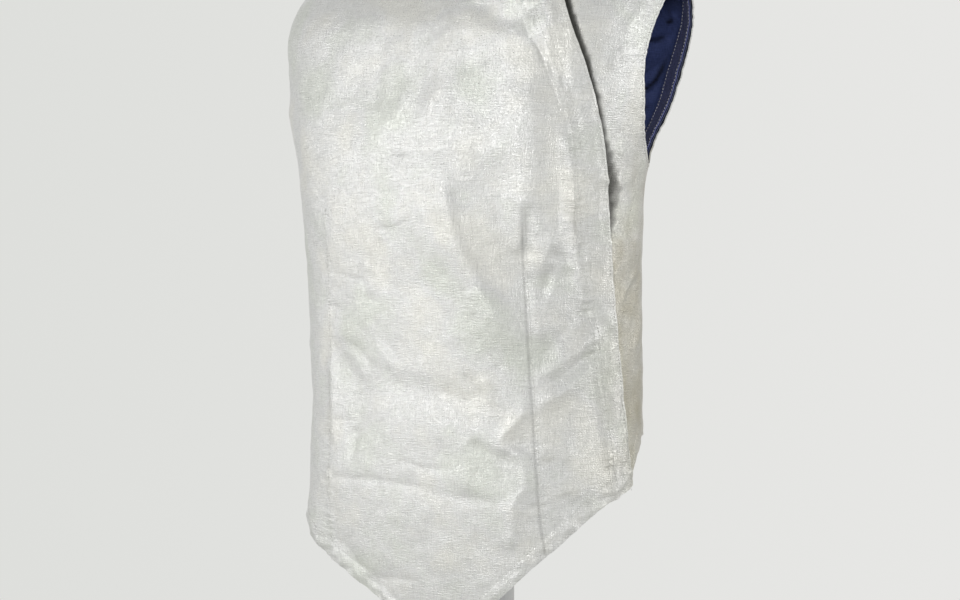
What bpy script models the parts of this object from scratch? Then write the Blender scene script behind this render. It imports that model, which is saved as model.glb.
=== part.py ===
"""Foil fencing lame worn by a limbless dress form on a round stand.

Metres, +Z up. The garment's front faces -Y and the wearer's left side is +X. The origin is the centre of
the base's underside, on the axis of the post.

The garment is one smooth figure, described by rings from the hem up to the neck. Every cloth piece is a
patch of that figure between two side lines and two height lines, given a wall with Solidify. Angles run
round the figure in degrees: 0 at the centre front, 90 at the wearer's left side, 180 at the centre back.
"Level" is the height of a ring at the side of the body, and carries on along the shoulder up to the neck.
"""

import math

import bmesh
import bpy
import numpy as np

# Garment levels: the bottom of the armholes, the ends of the shoulders and the neck seam.
UNDERARM_LEVEL = 0.792
SHOULDER_LEVEL = 0.985
NECK_LEVEL = 1.118
AXIS_Y = -0.028

# Cloth thicknesses and the clearances between layers.
LAME_WALL = 0.0015
LINING_WALL = 0.0010
TAPE_WALL = 0.0010
LAYER_GAP = 0.0014
FACING_GAP = 0.0005
SEAM_GAP = 0.0006

# Each ring: its level, its heights at front, side and back, its half width, its depths in front of and
# behind its centre, how far that centre lies behind the garment's axis, and the squareness of its front
# and back halves (2 = ellipse).
RING_COLUMNS = (
    "level",
    "front_z",
    "side_z",
    "back_z",
    "half_width",
    "front",
    "back",
    "centre",
    "front_square",
    "back_square",
)
GARMENT_RINGS = (
    (0.280, 0.280, 0.280, 0.280, 0.170, 0.104, 0.104, 0.000, 2.1, 2.1),
    (0.400, 0.400, 0.400, 0.400, 0.184, 0.126, 0.110, 0.000, 2.2, 2.2),
    (0.480, 0.480, 0.480, 0.480, 0.183, 0.134, 0.117, 0.000, 2.3, 2.2),
    (0.560, 0.560, 0.560, 0.560, 0.181, 0.136, 0.118, 0.000, 2.3, 2.2),
    (0.660, 0.660, 0.660, 0.660, 0.182, 0.143, 0.115, 0.000, 2.3, 2.1),
    (0.740, 0.740, 0.740, 0.740, 0.183, 0.153, 0.114, 0.000, 2.4, 2.1),
    (0.792, 0.792, 0.792, 0.792, 0.188, 0.157, 0.114, 0.003, 2.5, 2.2),
    (0.870, 0.870, 0.870, 0.870, 0.208, 0.162, 0.114, 0.022, 2.7, 3.0),
    (0.935, 0.925, 0.935, 0.935, 0.218, 0.164, 0.112, 0.036, 2.7, 2.9),
    (0.985, 0.957, 0.985, 0.985, 0.208, 0.156, 0.104, 0.050, 2.6, 2.6),
    (1.015, 0.972, 1.003, 1.012, 0.170, 0.138, 0.096, 0.056, 2.3, 2.3),
    (1.065, 0.985, 1.025, 1.038, 0.118, 0.108, 0.080, 0.056, 2.1, 2.1),
    (1.118, 0.996, 1.046, 1.056, 0.066, 0.076, 0.062, 0.056, 2.0, 2.0),
)

# The dress form inside it, ring by ring from its flat underside to the top of its neck.
FORM_RINGS = (
    (0.490, 0.490, 0.490, 0.490, 0.142, 0.098, 0.084, 0.000, 2.2, 2.2),
    (0.520, 0.520, 0.520, 0.520, 0.158, 0.114, 0.098, 0.000, 2.2, 2.2),
    (0.600, 0.600, 0.600, 0.600, 0.160, 0.119, 0.100, 0.000, 2.2, 2.2),
    (0.680, 0.680, 0.680, 0.680, 0.158, 0.124, 0.095, 0.000, 2.2, 2.2),
    (0.760, 0.760, 0.760, 0.760, 0.148, 0.134, 0.088, 0.000, 2.2, 2.2),
    (0.840, 0.840, 0.840, 0.840, 0.138, 0.136, 0.098, 0.012, 2.2, 2.2),
    (0.900, 0.896, 0.908, 0.902, 0.142, 0.134, 0.100, 0.026, 2.2, 2.2),
    (0.950, 0.932, 0.958, 0.950, 0.150, 0.128, 0.092, 0.040, 2.2, 2.2),
    (0.985, 0.946, 0.980, 0.980, 0.140, 0.114, 0.082, 0.050, 2.2, 2.2),
    (1.035, 0.964, 1.006, 1.014, 0.096, 0.086, 0.062, 0.056, 2.1, 2.1),
    (1.075, 0.992, 1.030, 1.038, 0.056, 0.056, 0.046, 0.056, 2.0, 2.0),
    (1.120, 1.104, 1.104, 1.104, 0.046, 0.046, 0.046, 0.056, 2.0, 2.0),
)
FORM_COLUMNS = 28
FORM_ROWS = 18

# Hem height by angle, the wearer's right negative: a long point in front, nearly level behind.
HEM_COLUMNS = ("angle", "height")
HEM = (
    (-180, 0.535),
    (-110, 0.495),
    (-70, 0.418),
    (-41, 0.372),
    (-23, 0.347),
    (6, 0.300),
    (27, 0.328),
    (55, 0.398),
    (72, 0.443),
    (86, 0.466),
    (93, 0.497),
    (102, 0.514),
    (180, 0.535),
)

# Angles of the side seams and shoulder seams, and how far the armholes reach from them.
SIDE_SEAM = 100.0
SHOULDER_SEAM = 92.0
ARMHOLE_FRONT_REACH = 20.0
ARMHOLE_FRONT_ROUNDNESS = 0.74
ARMHOLE_BACK_REACH = 15.5
ARMHOLE_BACK_ROUNDNESS = 0.45

# The free edge of the front, on the wearer's left, and how far it stands off the underlap.
FLAP_COLUMNS = ("level", "angle", "lift")
FLAP_EDGE = (
    (0.470, 86.5, 0.0052),
    (0.570, 81.0, 0.0052),
    (0.650, 77.5, 0.0052),
    (0.720, 75.0, 0.0056),
    (0.772, 72.0, 0.0080),
    (0.820, 66.3, 0.0080),
    (0.858, 60.3, 0.0060),
    (0.888, 55.5, 0.0064),
    (0.920, 51.3, 0.0086),
    (0.950, 48.6, 0.0090),
    (1.118, 40.0, 0.0036),
)
OVERLAP_ANGLE = 15.0
FLAP_RAMP_ANGLE = 10.0

# Waist darts, stitched from below the bust down to the hem.
DART_COLUMNS = ("level", "wearer_left", "wearer_right")
DARTS = (
    (0.380, 56.0, -50.0),
    (0.450, 51.5, -47.0),
    (0.550, 49.0, -44.5),
    (0.650, 46.5, -42.0),
    (0.745, 44.0, -37.5),
)
DART_DEPTH = 0.0040
DART_WIDTH = 0.012
DART_FADE = 0.060

# The largest folds, as soft ridges, or troughs where the height is negative: low across the front, from
# the breastbone to the left dart, beside that dart, down from the shoulders, then across the back.
FOLD_COLUMNS = ("angle_1", "level_1", "angle_2", "level_2", "height", "width")
FOLDS = (
    (-52, 0.474, 32, 0.462, -0.0050, 0.012),
    (-58, 0.494, 30, 0.485, 0.0040, 0.013),
    (22, 0.785, 45, 0.605, -0.0060, 0.017),
    (12, 0.770, 38, 0.625, 0.0045, 0.014),
    (50, 0.735, 49, 0.660, 0.0040, 0.010),
    (52, 0.635, 62, 0.670, -0.0040, 0.014),
    (51, 0.588, 68, 0.632, 0.0040, 0.012),
    (-20, 0.670, -39, 0.682, -0.0030, 0.012),
    (-32, 0.985, -48, 0.890, 0.0040, 0.013),
    (-24, 0.950, -32, 0.860, 0.0035, 0.012),
    (2, 0.985, -5, 0.812, 0.0035, 0.016),
    (28, 0.955, 46, 0.885, 0.0035, 0.013),
    (150, 0.700, 205, 0.672, -0.0040, 0.018),
    (158, 0.615, 214, 0.640, 0.0040, 0.018),
    (192, 0.900, 212, 0.790, -0.0035, 0.018),
    (148, 0.880, 160, 0.760, 0.0035, 0.018),
)
FOLD_ARC_RADIUS = 0.160

# The lining lies close to the lame round the armholes and hangs clear of its folds elsewhere.
LINING_SLACK = 0.0060
LINING_CLOSE_REACH = 0.020
LINING_SLACK_REACH = 0.040
LINING_HEM_RISE = 0.014

# Rows of the cloth grids below, beside and above the armholes.
FRONT_ROWS = (12, 10, 5)
SIDE_AND_BACK_ROWS = (8, 10, 5)
LINING_ROWS = (6, 10, 5)

# Collar and closure.
COLLAR_HEIGHT = 0.036
COLLAR_LEAN = 0.004
COLLAR_WALL = 0.0025
CLOSURE_BOTTOM = 0.520
CLOSURE_TOP = 0.720
CLOSURE_INSET_ANGLE = 4.0
CLOSURE_WIDTH_ANGLE = 6.0
CLOSURE_OUTER = 0.0028
CLOSURE_WALL = 0.0014

# The stand.
POST_RADIUS = 0.025
POST_SINK = 0.030
BASE_RADIUS = 0.170
BASE_THICKNESS = 0.008
BASE_EDGE_RADIUS = 0.002
COLLET_RADIUS = 0.042
COLLET_HEIGHT = 0.024
COLLET_EDGE = 0.003
NECK_CAP_RADIUS = 0.048
NECK_CAP_HEIGHT = 0.012
NECK_CAP_EDGE = 0.004
CLEARANCE = 0.0004

MATERIALS = {
    "silver_lame": ((0.70, 0.71, 0.69), 0.42, 0.65),
    "navy_lining": ((0.022, 0.028, 0.075), 0.55, 0.0),
    "navy_tape": ((0.035, 0.035, 0.095), 0.70, 0.0),
    "hook_and_loop": ((0.55, 0.55, 0.53), 0.90, 0.0),
    "form_cover": ((0.30, 0.30, 0.30), 0.85, 0.0),
    "grey_paint": ((0.38, 0.38, 0.37), 0.45, 0.0),
}


# ---------------------------------------------------------------- tables and curves


def column(table, columns, name):
    """One named column of a table, as an array."""
    index = columns.index(name)
    return np.array([row[index] for row in table], float)


def smooth(at, knots, values):
    """A curve through the knots that never overshoots them (a monotone cubic)."""
    at = np.clip(at, knots[0], knots[-1])
    steps = np.diff(knots)
    slopes = np.diff(values) / steps
    tangents = np.zeros(len(knots))
    for i in range(1, len(knots) - 1):
        if slopes[i - 1] * slopes[i] > 0:
            tangents[i] = 2 * slopes[i - 1] * slopes[i] / (slopes[i - 1] + slopes[i])
    tangents[0], tangents[-1] = slopes[0], slopes[-1]
    i = np.clip(np.searchsorted(knots, at, side="right") - 1, 0, len(steps) - 1)
    h = steps[i]
    s = (at - knots[i]) / h
    return (
        values[i] * (1 + 2 * s) * (1 - s) ** 2
        + tangents[i] * h * s * (1 - s) ** 2
        + values[i + 1] * s * s * (3 - 2 * s)
        + tangents[i + 1] * h * s * s * (s - 1)
    )


def lookup(table, columns, name, at):
    """A smooth curve through one named column, read at values of the table's first column."""
    return smooth(at, column(table, columns, columns[0]), column(table, columns, name))


def ease(value):
    """0 below 0, 1 above 1, and a smooth step between."""
    value = np.clip(value, 0, 1)
    return value * value * (3 - 2 * value)


def signed(angle):
    """The angle brought into -180 to 180."""
    return (np.asarray(angle, float) + 180) % 360 - 180


def even(count):
    """Shares from 0 to 1 in equal steps."""
    return np.linspace(0, 1, count + 1)


def crowded(count, amount=1.0):
    """Shares from 0 to 1, closer together towards both ends."""
    return (1 - amount) * even(count) + amount * (1 - np.cos(math.pi * even(count))) / 2


# ---------------------------------------------------------------- the figure


def ring_points(rings, angle, level):
    """Points of a ringed figure at each angle and level."""

    def value(name):
        return lookup(rings, RING_COLUMNS, name, level)

    turn = np.radians(angle)
    ahead, aside = np.cos(turn), np.sin(turn)
    depth = np.where(ahead > 0, value("front"), value("back"))
    square = np.where(ahead > 0, value("front_square"), value("back_square"))
    inverse = np.abs(ahead / depth) ** square + np.abs(aside / value("half_width")) ** square
    radius = inverse ** (-1 / square)
    middle = np.where(ahead > 0, value("front_z"), value("back_z"))
    z = middle + (value("side_z") - middle) * aside**2
    return np.stack([radius * aside, AXIS_Y + value("centre") - radius * ahead, z], axis=-1)


def outward(rings, angle, level):
    """Unit normals of a ringed figure, pointing out."""
    turn_step, level_step = 0.05, 0.0002
    round_it = ring_points(rings, angle + turn_step, level) - ring_points(rings, angle - turn_step, level)
    up_it = ring_points(rings, angle, level + level_step) - ring_points(rings, angle, level - level_step)
    normal = np.cross(round_it, up_it)
    return normal / np.linalg.norm(normal, axis=-1, keepdims=True)


def hem_height(angle):
    return lookup(HEM, HEM_COLUMNS, "height", signed(angle))


def lining_hem(angle):
    return hem_height(angle) + LINING_HEM_RISE


def flap_edge(level):
    return lookup(FLAP_EDGE, FLAP_COLUMNS, "angle", level)


def flap_inner_end(level):
    """Where the underlap begins, beneath the front."""
    return flap_edge(level) - OVERLAP_ANGLE


def armhole(level, reach, roundness):
    """Angle of an armhole's edge: the seam's own angle, and a rounded reach from it over the armhole."""
    share = np.clip((level - UNDERARM_LEVEL) / (SHOULDER_LEVEL - UNDERARM_LEVEL), 0, 1)
    seam = SIDE_SEAM + (SHOULDER_SEAM - SIDE_SEAM) * ease(share)
    return seam + reach * np.clip(np.sin(math.pi * share), 0, 1) ** roundness


def front_side(level):
    """Where the front pieces end: side seam, armhole, then shoulder seam."""
    return armhole(level, -ARMHOLE_FRONT_REACH, ARMHOLE_FRONT_ROUNDNESS)


def back_side(level):
    return armhole(level, ARMHOLE_BACK_REACH, ARMHOLE_BACK_ROUNDNESS)


def arc_length(degrees):
    """Length round the body that an angle takes, near enough for folds and clearances."""
    return np.radians(degrees) * FOLD_ARC_RADIUS


def degrees_of(length, angle, level):
    """How many degrees a length round the body takes at this place."""
    step = 0.5
    arc = ring_points(GARMENT_RINGS, angle + step, level) - ring_points(GARMENT_RINGS, angle - step, level)
    return length / np.linalg.norm(arc, axis=-1) * 2 * step


def seam_gap_angle(level):
    return degrees_of(SEAM_GAP / 2, SIDE_SEAM, level)


# ---------------------------------------------------------------- folds and layers


def fold_relief(angle, level):
    """Outward push of the folds and darts."""
    push = np.zeros(np.broadcast(angle, level).shape)
    for row in FOLDS:
        fold = dict(zip(FOLD_COLUMNS, row))
        across = arc_length(signed(angle - fold["angle_1"]))
        up = level - fold["level_1"]
        run_across = arc_length(fold["angle_2"] - fold["angle_1"])
        run_up = fold["level_2"] - fold["level_1"]
        length = math.hypot(run_across, run_up)
        along = (across * run_across + up * run_up) / length**2
        aside = (across * run_up - up * run_across) / length
        swell = ease((along + 0.15) / 0.4) * ease((1.15 - along) / 0.4)
        push += fold["height"] * swell * np.exp(-((aside / fold["width"]) ** 2))
    dart_top = DARTS[-1][0]
    for name in DART_COLUMNS[1:]:
        aside = arc_length(signed(angle - lookup(DARTS, DART_COLUMNS, name, level)))
        push -= DART_DEPTH * ease((dart_top - level) / DART_FADE) * np.exp(-np.abs(aside) / DART_WIDTH)
    return push * ease((NECK_LEVEL - level) / (NECK_LEVEL - SHOULDER_LEVEL))


def flap_lift(angle, level):
    """The front stands off the underlap over the overlap, and comes down to the body beyond it."""
    lift = lookup(FLAP_EDGE, FLAP_COLUMNS, "lift", level)
    return lift * ease((angle - flap_inner_end(level) + FLAP_RAMP_ANGLE) / FLAP_RAMP_ANGLE)


def cloth_points(angle, level, lift=0.0):
    """Points on the garment's outer face, folds and all."""
    push = fold_relief(angle, level) + lift
    return ring_points(GARMENT_RINGS, angle, level) + outward(GARMENT_RINGS, angle, level) * push[..., None]


def lining_slack(angle, level):
    """How much deeper the lining hangs, from nothing beside an armhole to its full slack."""
    beside = np.abs(signed(angle))
    across = arc_length(np.maximum(front_side(level) - beside, beside - back_side(level)).clip(0))
    along = np.maximum(UNDERARM_LEVEL - level, level - SHOULDER_LEVEL).clip(0)
    return LINING_SLACK * ease((np.hypot(across, along) - LINING_CLOSE_REACH) / LINING_SLACK_REACH)


def inner_points(angle, level, inward):
    """Points at a depth beneath the lame's inner face, on the smooth figure without its folds."""
    push = LAME_WALL + lining_slack(angle, level) + inward
    return ring_points(GARMENT_RINGS, angle, level) - outward(GARMENT_RINGS, angle, level) * push[..., None]


# ---------------------------------------------------------------- Blender objects


def clear_scene():
    for obj in list(bpy.data.objects):
        bpy.data.objects.remove(obj)


def new_collection(name):
    made = bpy.data.collections.new(name)
    bpy.context.scene.collection.children.link(made)
    return made


def material(name):
    found = bpy.data.materials.get(name)
    if found:
        return found
    colour, roughness, metallic = MATERIALS[name]
    made = bpy.data.materials.new(name)
    made.use_nodes = True
    shader = made.node_tree.nodes["Principled BSDF"]
    shader.inputs["Base Color"].default_value = (*colour, 1.0)
    shader.inputs["Roughness"].default_value = roughness
    shader.inputs["Metallic"].default_value = metallic
    return made


def add_object(name, mesh, collection, material_name):
    obj = bpy.data.objects.new(name, mesh)
    obj.data.materials.append(material(material_name))
    collection.objects.link(obj)
    return obj


def mesh_from(shape, name):
    mesh = bpy.data.meshes.new(name)
    shape.to_mesh(mesh)
    shape.free()
    return mesh


def sheet_mesh(name, points, closed_round=False):
    """A mesh over a grid of points: rows run upwards, columns round the body towards the wearer's left.
    Closed round, its two ends are capped as well."""
    shape = bmesh.new()
    rows, columns = points.shape[:2]
    grid = [[shape.verts.new(points[i, j]) for j in range(columns)] for i in range(rows)]
    last = columns if closed_round else columns - 1
    for i in range(rows - 1):
        for j in range(last):
            k = (j + 1) % columns
            shape.faces.new((grid[i][j], grid[i][k], grid[i + 1][k], grid[i + 1][j]))
    if closed_round:
        shape.faces.new(grid[0][::-1])
        shape.faces.new(grid[-1])
    mesh = mesh_from(shape, name)
    mesh.shade_smooth()
    return mesh


def add_cloth(name, points, wall, collection, material_name):
    """A cloth piece: the grid is its outer face, and the wall goes inwards."""
    obj = add_object(name, sheet_mesh(name, points), collection, material_name)
    solidify = obj.modifiers.new("wall", "SOLIDIFY")
    solidify.thickness = wall
    solidify.offset = -1
    return obj


def add_disc(name, radius, bottom, top, segments, edge, centre_y, collection, material_name):
    """A round plate or post, with a rounded rim where edge is given."""
    shape = bmesh.new()
    bmesh.ops.create_cone(
        shape, cap_ends=True, segments=segments, radius1=radius, radius2=radius, depth=top - bottom
    )
    bmesh.ops.translate(shape, verts=shape.verts, vec=(0, centre_y, (bottom + top) / 2))
    obj = add_object(name, mesh_from(shape, name), collection, material_name)
    obj.data.shade_smooth()
    obj.data.set_sharp_from_angle(angle=math.radians(40))
    if edge:
        bevel = obj.modifiers.new("rim", "BEVEL")
        bevel.width = edge
        bevel.segments = 2
        bevel.limit_method = "ANGLE"
    return obj


# ---------------------------------------------------------------- cloth pieces


def patch(start, end, bottom, across, rows):
    """Angles and levels over a patch of the figure.

    Each row lies between start(level) and end(level) round the body, at the shares in across. The rows run
    from bottom(angle) up to the neck, in numbers given below, beside and above the armholes.
    """
    below, beside, above = rows
    up = np.concatenate([even(below)[:-1], 1 + crowded(beside)[:-1], 2 + crowded(above)])[:, None]
    upper_level = np.interp(up, [1, 2, 3], [UNDERARM_LEVEL, SHOULDER_LEVEL, NECK_LEVEL])
    angle = np.zeros((len(up), len(across)))
    for _ in range(8):
        level = np.where(up < 1, bottom(angle) + (UNDERARM_LEVEL - bottom(angle)) * up, upper_level)
        angle = start(level) + (end(level) - start(level)) * across[None, :]
    return angle, level


def right_front_seam(level):
    return seam_gap_angle(level) - front_side(level)


def left_front_seam(level):
    return front_side(level) - seam_gap_angle(level)


def left_back_seam(level):
    return back_side(level) + seam_gap_angle(level)


def right_back_seam(level):
    return 360 - back_side(level) - seam_gap_angle(level)


def add_panels(collection):
    angle, level = patch(right_front_seam, flap_edge, hem_height, crowded(31, 0.4), FRONT_ROWS)
    points = cloth_points(angle, level, lift=flap_lift(angle, level))
    add_cloth("front_panel", points, LAME_WALL, collection, "silver_lame")
    angle, level = patch(flap_inner_end, left_front_seam, hem_height, crowded(5), SIDE_AND_BACK_ROWS)
    add_cloth("left_underlap", cloth_points(angle, level), LAME_WALL, collection, "silver_lame")
    angle, level = patch(left_back_seam, right_back_seam, hem_height, crowded(18, 0.8), SIDE_AND_BACK_ROWS)
    add_cloth("back_panel", cloth_points(angle, level), LAME_WALL, collection, "silver_lame")


def add_lining(name, start, end, across, collection):
    """A lining, shorter than the lame at its hem. Returns the angles and levels of its grid."""
    angle, level = patch(start, end, lining_hem, across, LINING_ROWS)
    add_cloth(name, inner_points(angle, level, LAYER_GAP), LINING_WALL, collection, "navy_lining")
    return angle, level


def add_facing(name, grid, columns, collection):
    """A tape on a lining along its armhole edge, over the outermost columns of the lining's grid."""
    below, beside, above = LINING_ROWS
    angle, level = (values[below : below + beside + 1, columns] for values in grid)
    points = inner_points(angle, level, LAYER_GAP + LINING_WALL + FACING_GAP)
    add_cloth(name, points, TAPE_WALL, collection, "navy_tape")


def add_linings(collection):
    def front_end(level):
        return flap_inner_end(level) - 2 * seam_gap_angle(level)

    first, last = slice(None, 2), slice(-2, None)
    grid = add_lining("front_lining", right_front_seam, front_end, crowded(12, 0.8), collection)
    add_facing("facing_right_front", grid, first, collection)
    grid = add_lining("underlap_lining", flap_inner_end, left_front_seam, crowded(5), collection)
    add_facing("facing_left_front", grid, last, collection)
    grid = add_lining("back_lining", left_back_seam, right_back_seam, crowded(12, 0.8), collection)
    add_facing("facing_left_back", grid, first, collection)
    add_facing("facing_right_back", grid, last, collection)


def add_collar(collection):
    """A stand band on the neck seam, its ends meeting at the flap's edge."""
    opening = float(flap_edge(NECK_LEVEL))
    gap = float(degrees_of(SEAM_GAP, opening, NECK_LEVEL))
    angle = opening - 360 + gap + (360 - 2 * gap) * even(28)
    level = np.full(angle.shape, NECK_LEVEL)
    seam = cloth_points(angle, level, lift=flap_lift(angle, level))
    turn = np.radians(angle)
    inwards = np.stack([-np.sin(turn), np.cos(turn), np.zeros(turn.shape)], axis=-1)
    rise = even(2)[:, None, None]
    upwards = np.array([0, 0, 1])
    points = seam[None] + upwards * (SEAM_GAP + COLLAR_HEIGHT * rise) + inwards[None] * COLLAR_LEAN * rise
    add_cloth("collar", points, COLLAR_WALL, collection, "silver_lame")


def add_closure(collection):
    """A hook-and-loop strip between flap and underlap, near the flap's edge."""
    level = (CLOSURE_BOTTOM + (CLOSURE_TOP - CLOSURE_BOTTOM) * even(6))[:, None]
    angle = flap_edge(level) - CLOSURE_INSET_ANGLE - CLOSURE_WIDTH_ANGLE * (1 - even(2))[None, :]
    level = np.broadcast_to(level, angle.shape)
    points = cloth_points(angle, level, lift=CLOSURE_OUTER)
    add_cloth("closure_strip", points, CLOSURE_WALL, collection, "hook_and_loop")


# ---------------------------------------------------------------- the stand


def add_form(collection, cutters):
    """The limbless torso, with a socket in its underside for the post."""
    angle = 360 * even(FORM_COLUMNS)[None, :-1]
    levels = column(FORM_RINGS, RING_COLUMNS, "level")
    level = levels[0] + (levels[-1] - levels[0]) * even(FORM_ROWS)[:, None]
    angle, level = np.broadcast_arrays(angle, level)
    mesh = sheet_mesh("form_torso", ring_points(FORM_RINGS, angle, level), closed_round=True)
    mesh.set_sharp_from_angle(angle=math.radians(50))
    form = add_object("form_torso", mesh, collection, "form_cover")
    underside = levels[0]
    socket = add_disc(
        "socket_cutter",
        POST_RADIUS + CLEARANCE,
        underside - POST_SINK,
        underside + POST_SINK,
        32,
        0.0,
        0.0,
        cutters,
        "form_cover",
    )
    socket.hide_render = True
    socket.display_type = "WIRE"
    cut = form.modifiers.new("socket", "BOOLEAN")
    cut.operation = "DIFFERENCE"
    cut.object = socket


def add_neck_cap(collection):
    neck_top = FORM_RINGS[-1][RING_COLUMNS.index("front_z")]
    neck_y = AXIS_Y + FORM_RINGS[-1][RING_COLUMNS.index("centre")]
    bottom = neck_top + CLEARANCE
    add_disc(
        "form_neck_cap",
        NECK_CAP_RADIUS,
        bottom,
        bottom + NECK_CAP_HEIGHT,
        32,
        NECK_CAP_EDGE,
        neck_y,
        collection,
        "grey_paint",
    )


def add_collet(collection):
    """The ring that holds the post's foot: a turned profile, chamfered at its upper rim."""
    inner = POST_RADIUS + CLEARANCE
    bottom = BASE_THICKNESS + CLEARANCE
    top = bottom + COLLET_HEIGHT
    profile = (
        (inner, top),
        (COLLET_RADIUS - COLLET_EDGE, top),
        (COLLET_RADIUS, top - COLLET_EDGE),
        (COLLET_RADIUS, bottom),
        (inner, bottom),
    )
    shape = bmesh.new()
    corners = [shape.verts.new((x, 0, z)) for x, z in profile]
    for first, second in zip(corners, corners[1:] + corners[:1]):
        shape.edges.new((first, second))
    obj = add_object("base_collet", mesh_from(shape, "base_collet"), collection, "grey_paint")
    screw = obj.modifiers.new("turn", "SCREW")
    screw.steps = 32
    screw.render_steps = 32
    screw.use_merge_vertices = True
    screw.merge_threshold = 0.00005


def add_stand(collection, cutters):
    underside = FORM_RINGS[0][0]
    add_form(collection, cutters)
    add_neck_cap(collection)
    add_disc(
        "post",
        POST_RADIUS,
        BASE_THICKNESS + CLEARANCE,
        underside + POST_SINK - CLEARANCE,
        32,
        0.0,
        0.0,
        collection,
        "grey_paint",
    )
    add_collet(collection)
    add_disc("base", BASE_RADIUS, 0.0, BASE_THICKNESS, 64, BASE_EDGE_RADIUS, 0.0, collection, "grey_paint")


def main():
    clear_scene()
    garment = new_collection("fencing_lame")
    cutters = new_collection("cutters")
    add_panels(garment)
    add_linings(garment)
    add_collar(garment)
    add_closure(garment)
    add_stand(garment, cutters)


main()
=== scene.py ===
"""Looks of the foil fencing lame on its dress form: cloth shells, creases, stitching and finishes.

Metres, +Z up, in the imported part's own frame. The garment's front faces -Y and the wearer's left is +X.

Every cloth shell lies on the same smooth figure as the solids: rings from the hem up to the neck. Angles run
round it in degrees, 0 at the centre front, 90 at the wearer's left side and 180 at the centre back. "Level"
is a ring's height at the side of the body, and carries on along the shoulder up to the neck.
"""

import math

import bmesh
import bpy
import numpy as np
from mathutils import Matrix, Vector, noise


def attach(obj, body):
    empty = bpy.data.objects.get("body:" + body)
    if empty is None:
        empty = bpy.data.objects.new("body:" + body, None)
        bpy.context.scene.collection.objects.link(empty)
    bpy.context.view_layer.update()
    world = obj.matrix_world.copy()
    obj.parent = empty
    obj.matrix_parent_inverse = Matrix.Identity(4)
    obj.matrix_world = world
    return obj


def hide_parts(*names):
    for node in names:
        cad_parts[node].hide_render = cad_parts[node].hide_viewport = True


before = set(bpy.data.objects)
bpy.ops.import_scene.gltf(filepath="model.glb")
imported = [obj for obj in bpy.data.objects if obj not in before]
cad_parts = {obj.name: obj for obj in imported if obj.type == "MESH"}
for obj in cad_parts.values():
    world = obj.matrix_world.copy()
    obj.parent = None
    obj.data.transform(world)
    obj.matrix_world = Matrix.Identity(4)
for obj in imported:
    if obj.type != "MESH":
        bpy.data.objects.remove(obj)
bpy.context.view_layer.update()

MM = 0.001

# ---------------------------------------------------------------- the figure

AXIS_Y = -0.028
UNDERARM_LEVEL = 0.792
SHOULDER_LEVEL = 0.985
NECK_LEVEL = 1.118
ARC_RADIUS = 0.160

RING_COLUMNS = (
    "level",
    "front_z",
    "side_z",
    "back_z",
    "half_width",
    "front",
    "back",
    "centre",
    "front_square",
    "back_square",
)
GARMENT_RINGS = (
    (0.280, 0.280, 0.280, 0.280, 0.170, 0.104, 0.104, 0.000, 2.1, 2.1),
    (0.400, 0.400, 0.400, 0.400, 0.184, 0.126, 0.110, 0.000, 2.2, 2.2),
    (0.480, 0.480, 0.480, 0.480, 0.183, 0.134, 0.117, 0.000, 2.3, 2.2),
    (0.560, 0.560, 0.560, 0.560, 0.181, 0.136, 0.118, 0.000, 2.3, 2.2),
    (0.660, 0.660, 0.660, 0.660, 0.182, 0.143, 0.115, 0.000, 2.3, 2.1),
    (0.740, 0.740, 0.740, 0.740, 0.183, 0.153, 0.114, 0.000, 2.4, 2.1),
    (0.792, 0.792, 0.792, 0.792, 0.188, 0.157, 0.114, 0.003, 2.5, 2.2),
    (0.870, 0.870, 0.870, 0.870, 0.208, 0.162, 0.114, 0.022, 2.7, 3.0),
    (0.935, 0.925, 0.935, 0.935, 0.218, 0.164, 0.112, 0.036, 2.7, 2.9),
    (0.985, 0.957, 0.985, 0.985, 0.208, 0.156, 0.104, 0.050, 2.6, 2.6),
    (1.015, 0.972, 1.003, 1.012, 0.170, 0.138, 0.096, 0.056, 2.3, 2.3),
    (1.065, 0.985, 1.025, 1.038, 0.118, 0.108, 0.080, 0.056, 2.1, 2.1),
    (1.118, 0.996, 1.046, 1.056, 0.066, 0.076, 0.062, 0.056, 2.0, 2.0),
)

HEM_COLUMNS = ("angle", "height")
HEM = (
    (-180, 0.535),
    (-110, 0.495),
    (-70, 0.418),
    (-41, 0.372),
    (-23, 0.347),
    (6, 0.300),
    (27, 0.328),
    (55, 0.398),
    (72, 0.443),
    (86, 0.466),
    (93, 0.497),
    (102, 0.514),
    (180, 0.535),
)

SIDE_SEAM = 100.0
SHOULDER_SEAM = 92.0
ARMHOLE_FRONT = {"reach": -20.0, "roundness": 0.74}
ARMHOLE_BACK = {"reach": 15.5, "roundness": 0.45}

FLAP_COLUMNS = ("level", "angle", "lift")
FLAP_EDGE = (
    (0.470, 85.8, 0.0036),
    (0.530, 82.8, 0.0042),
    (0.570, 81.0, 0.0048),
    (0.650, 77.0, 0.0052),
    (0.720, 74.0, 0.0056),
    (0.772, 71.1, 0.0070),
    (0.800, 68.6, 0.0062),
    (0.820, 65.9, 0.0050),
    (0.858, 59.8, 0.0038),
    (0.888, 55.7, 0.0042),
    (0.920, 51.5, 0.0052),
    (0.950, 48.7, 0.0056),
    (1.118, 39.0, 0.0036),
)
OVERLAP_ANGLE = 15.0
FLAP_RAMP_START = 14.0
FLAP_RAMP_ANGLE = 12.5

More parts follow.
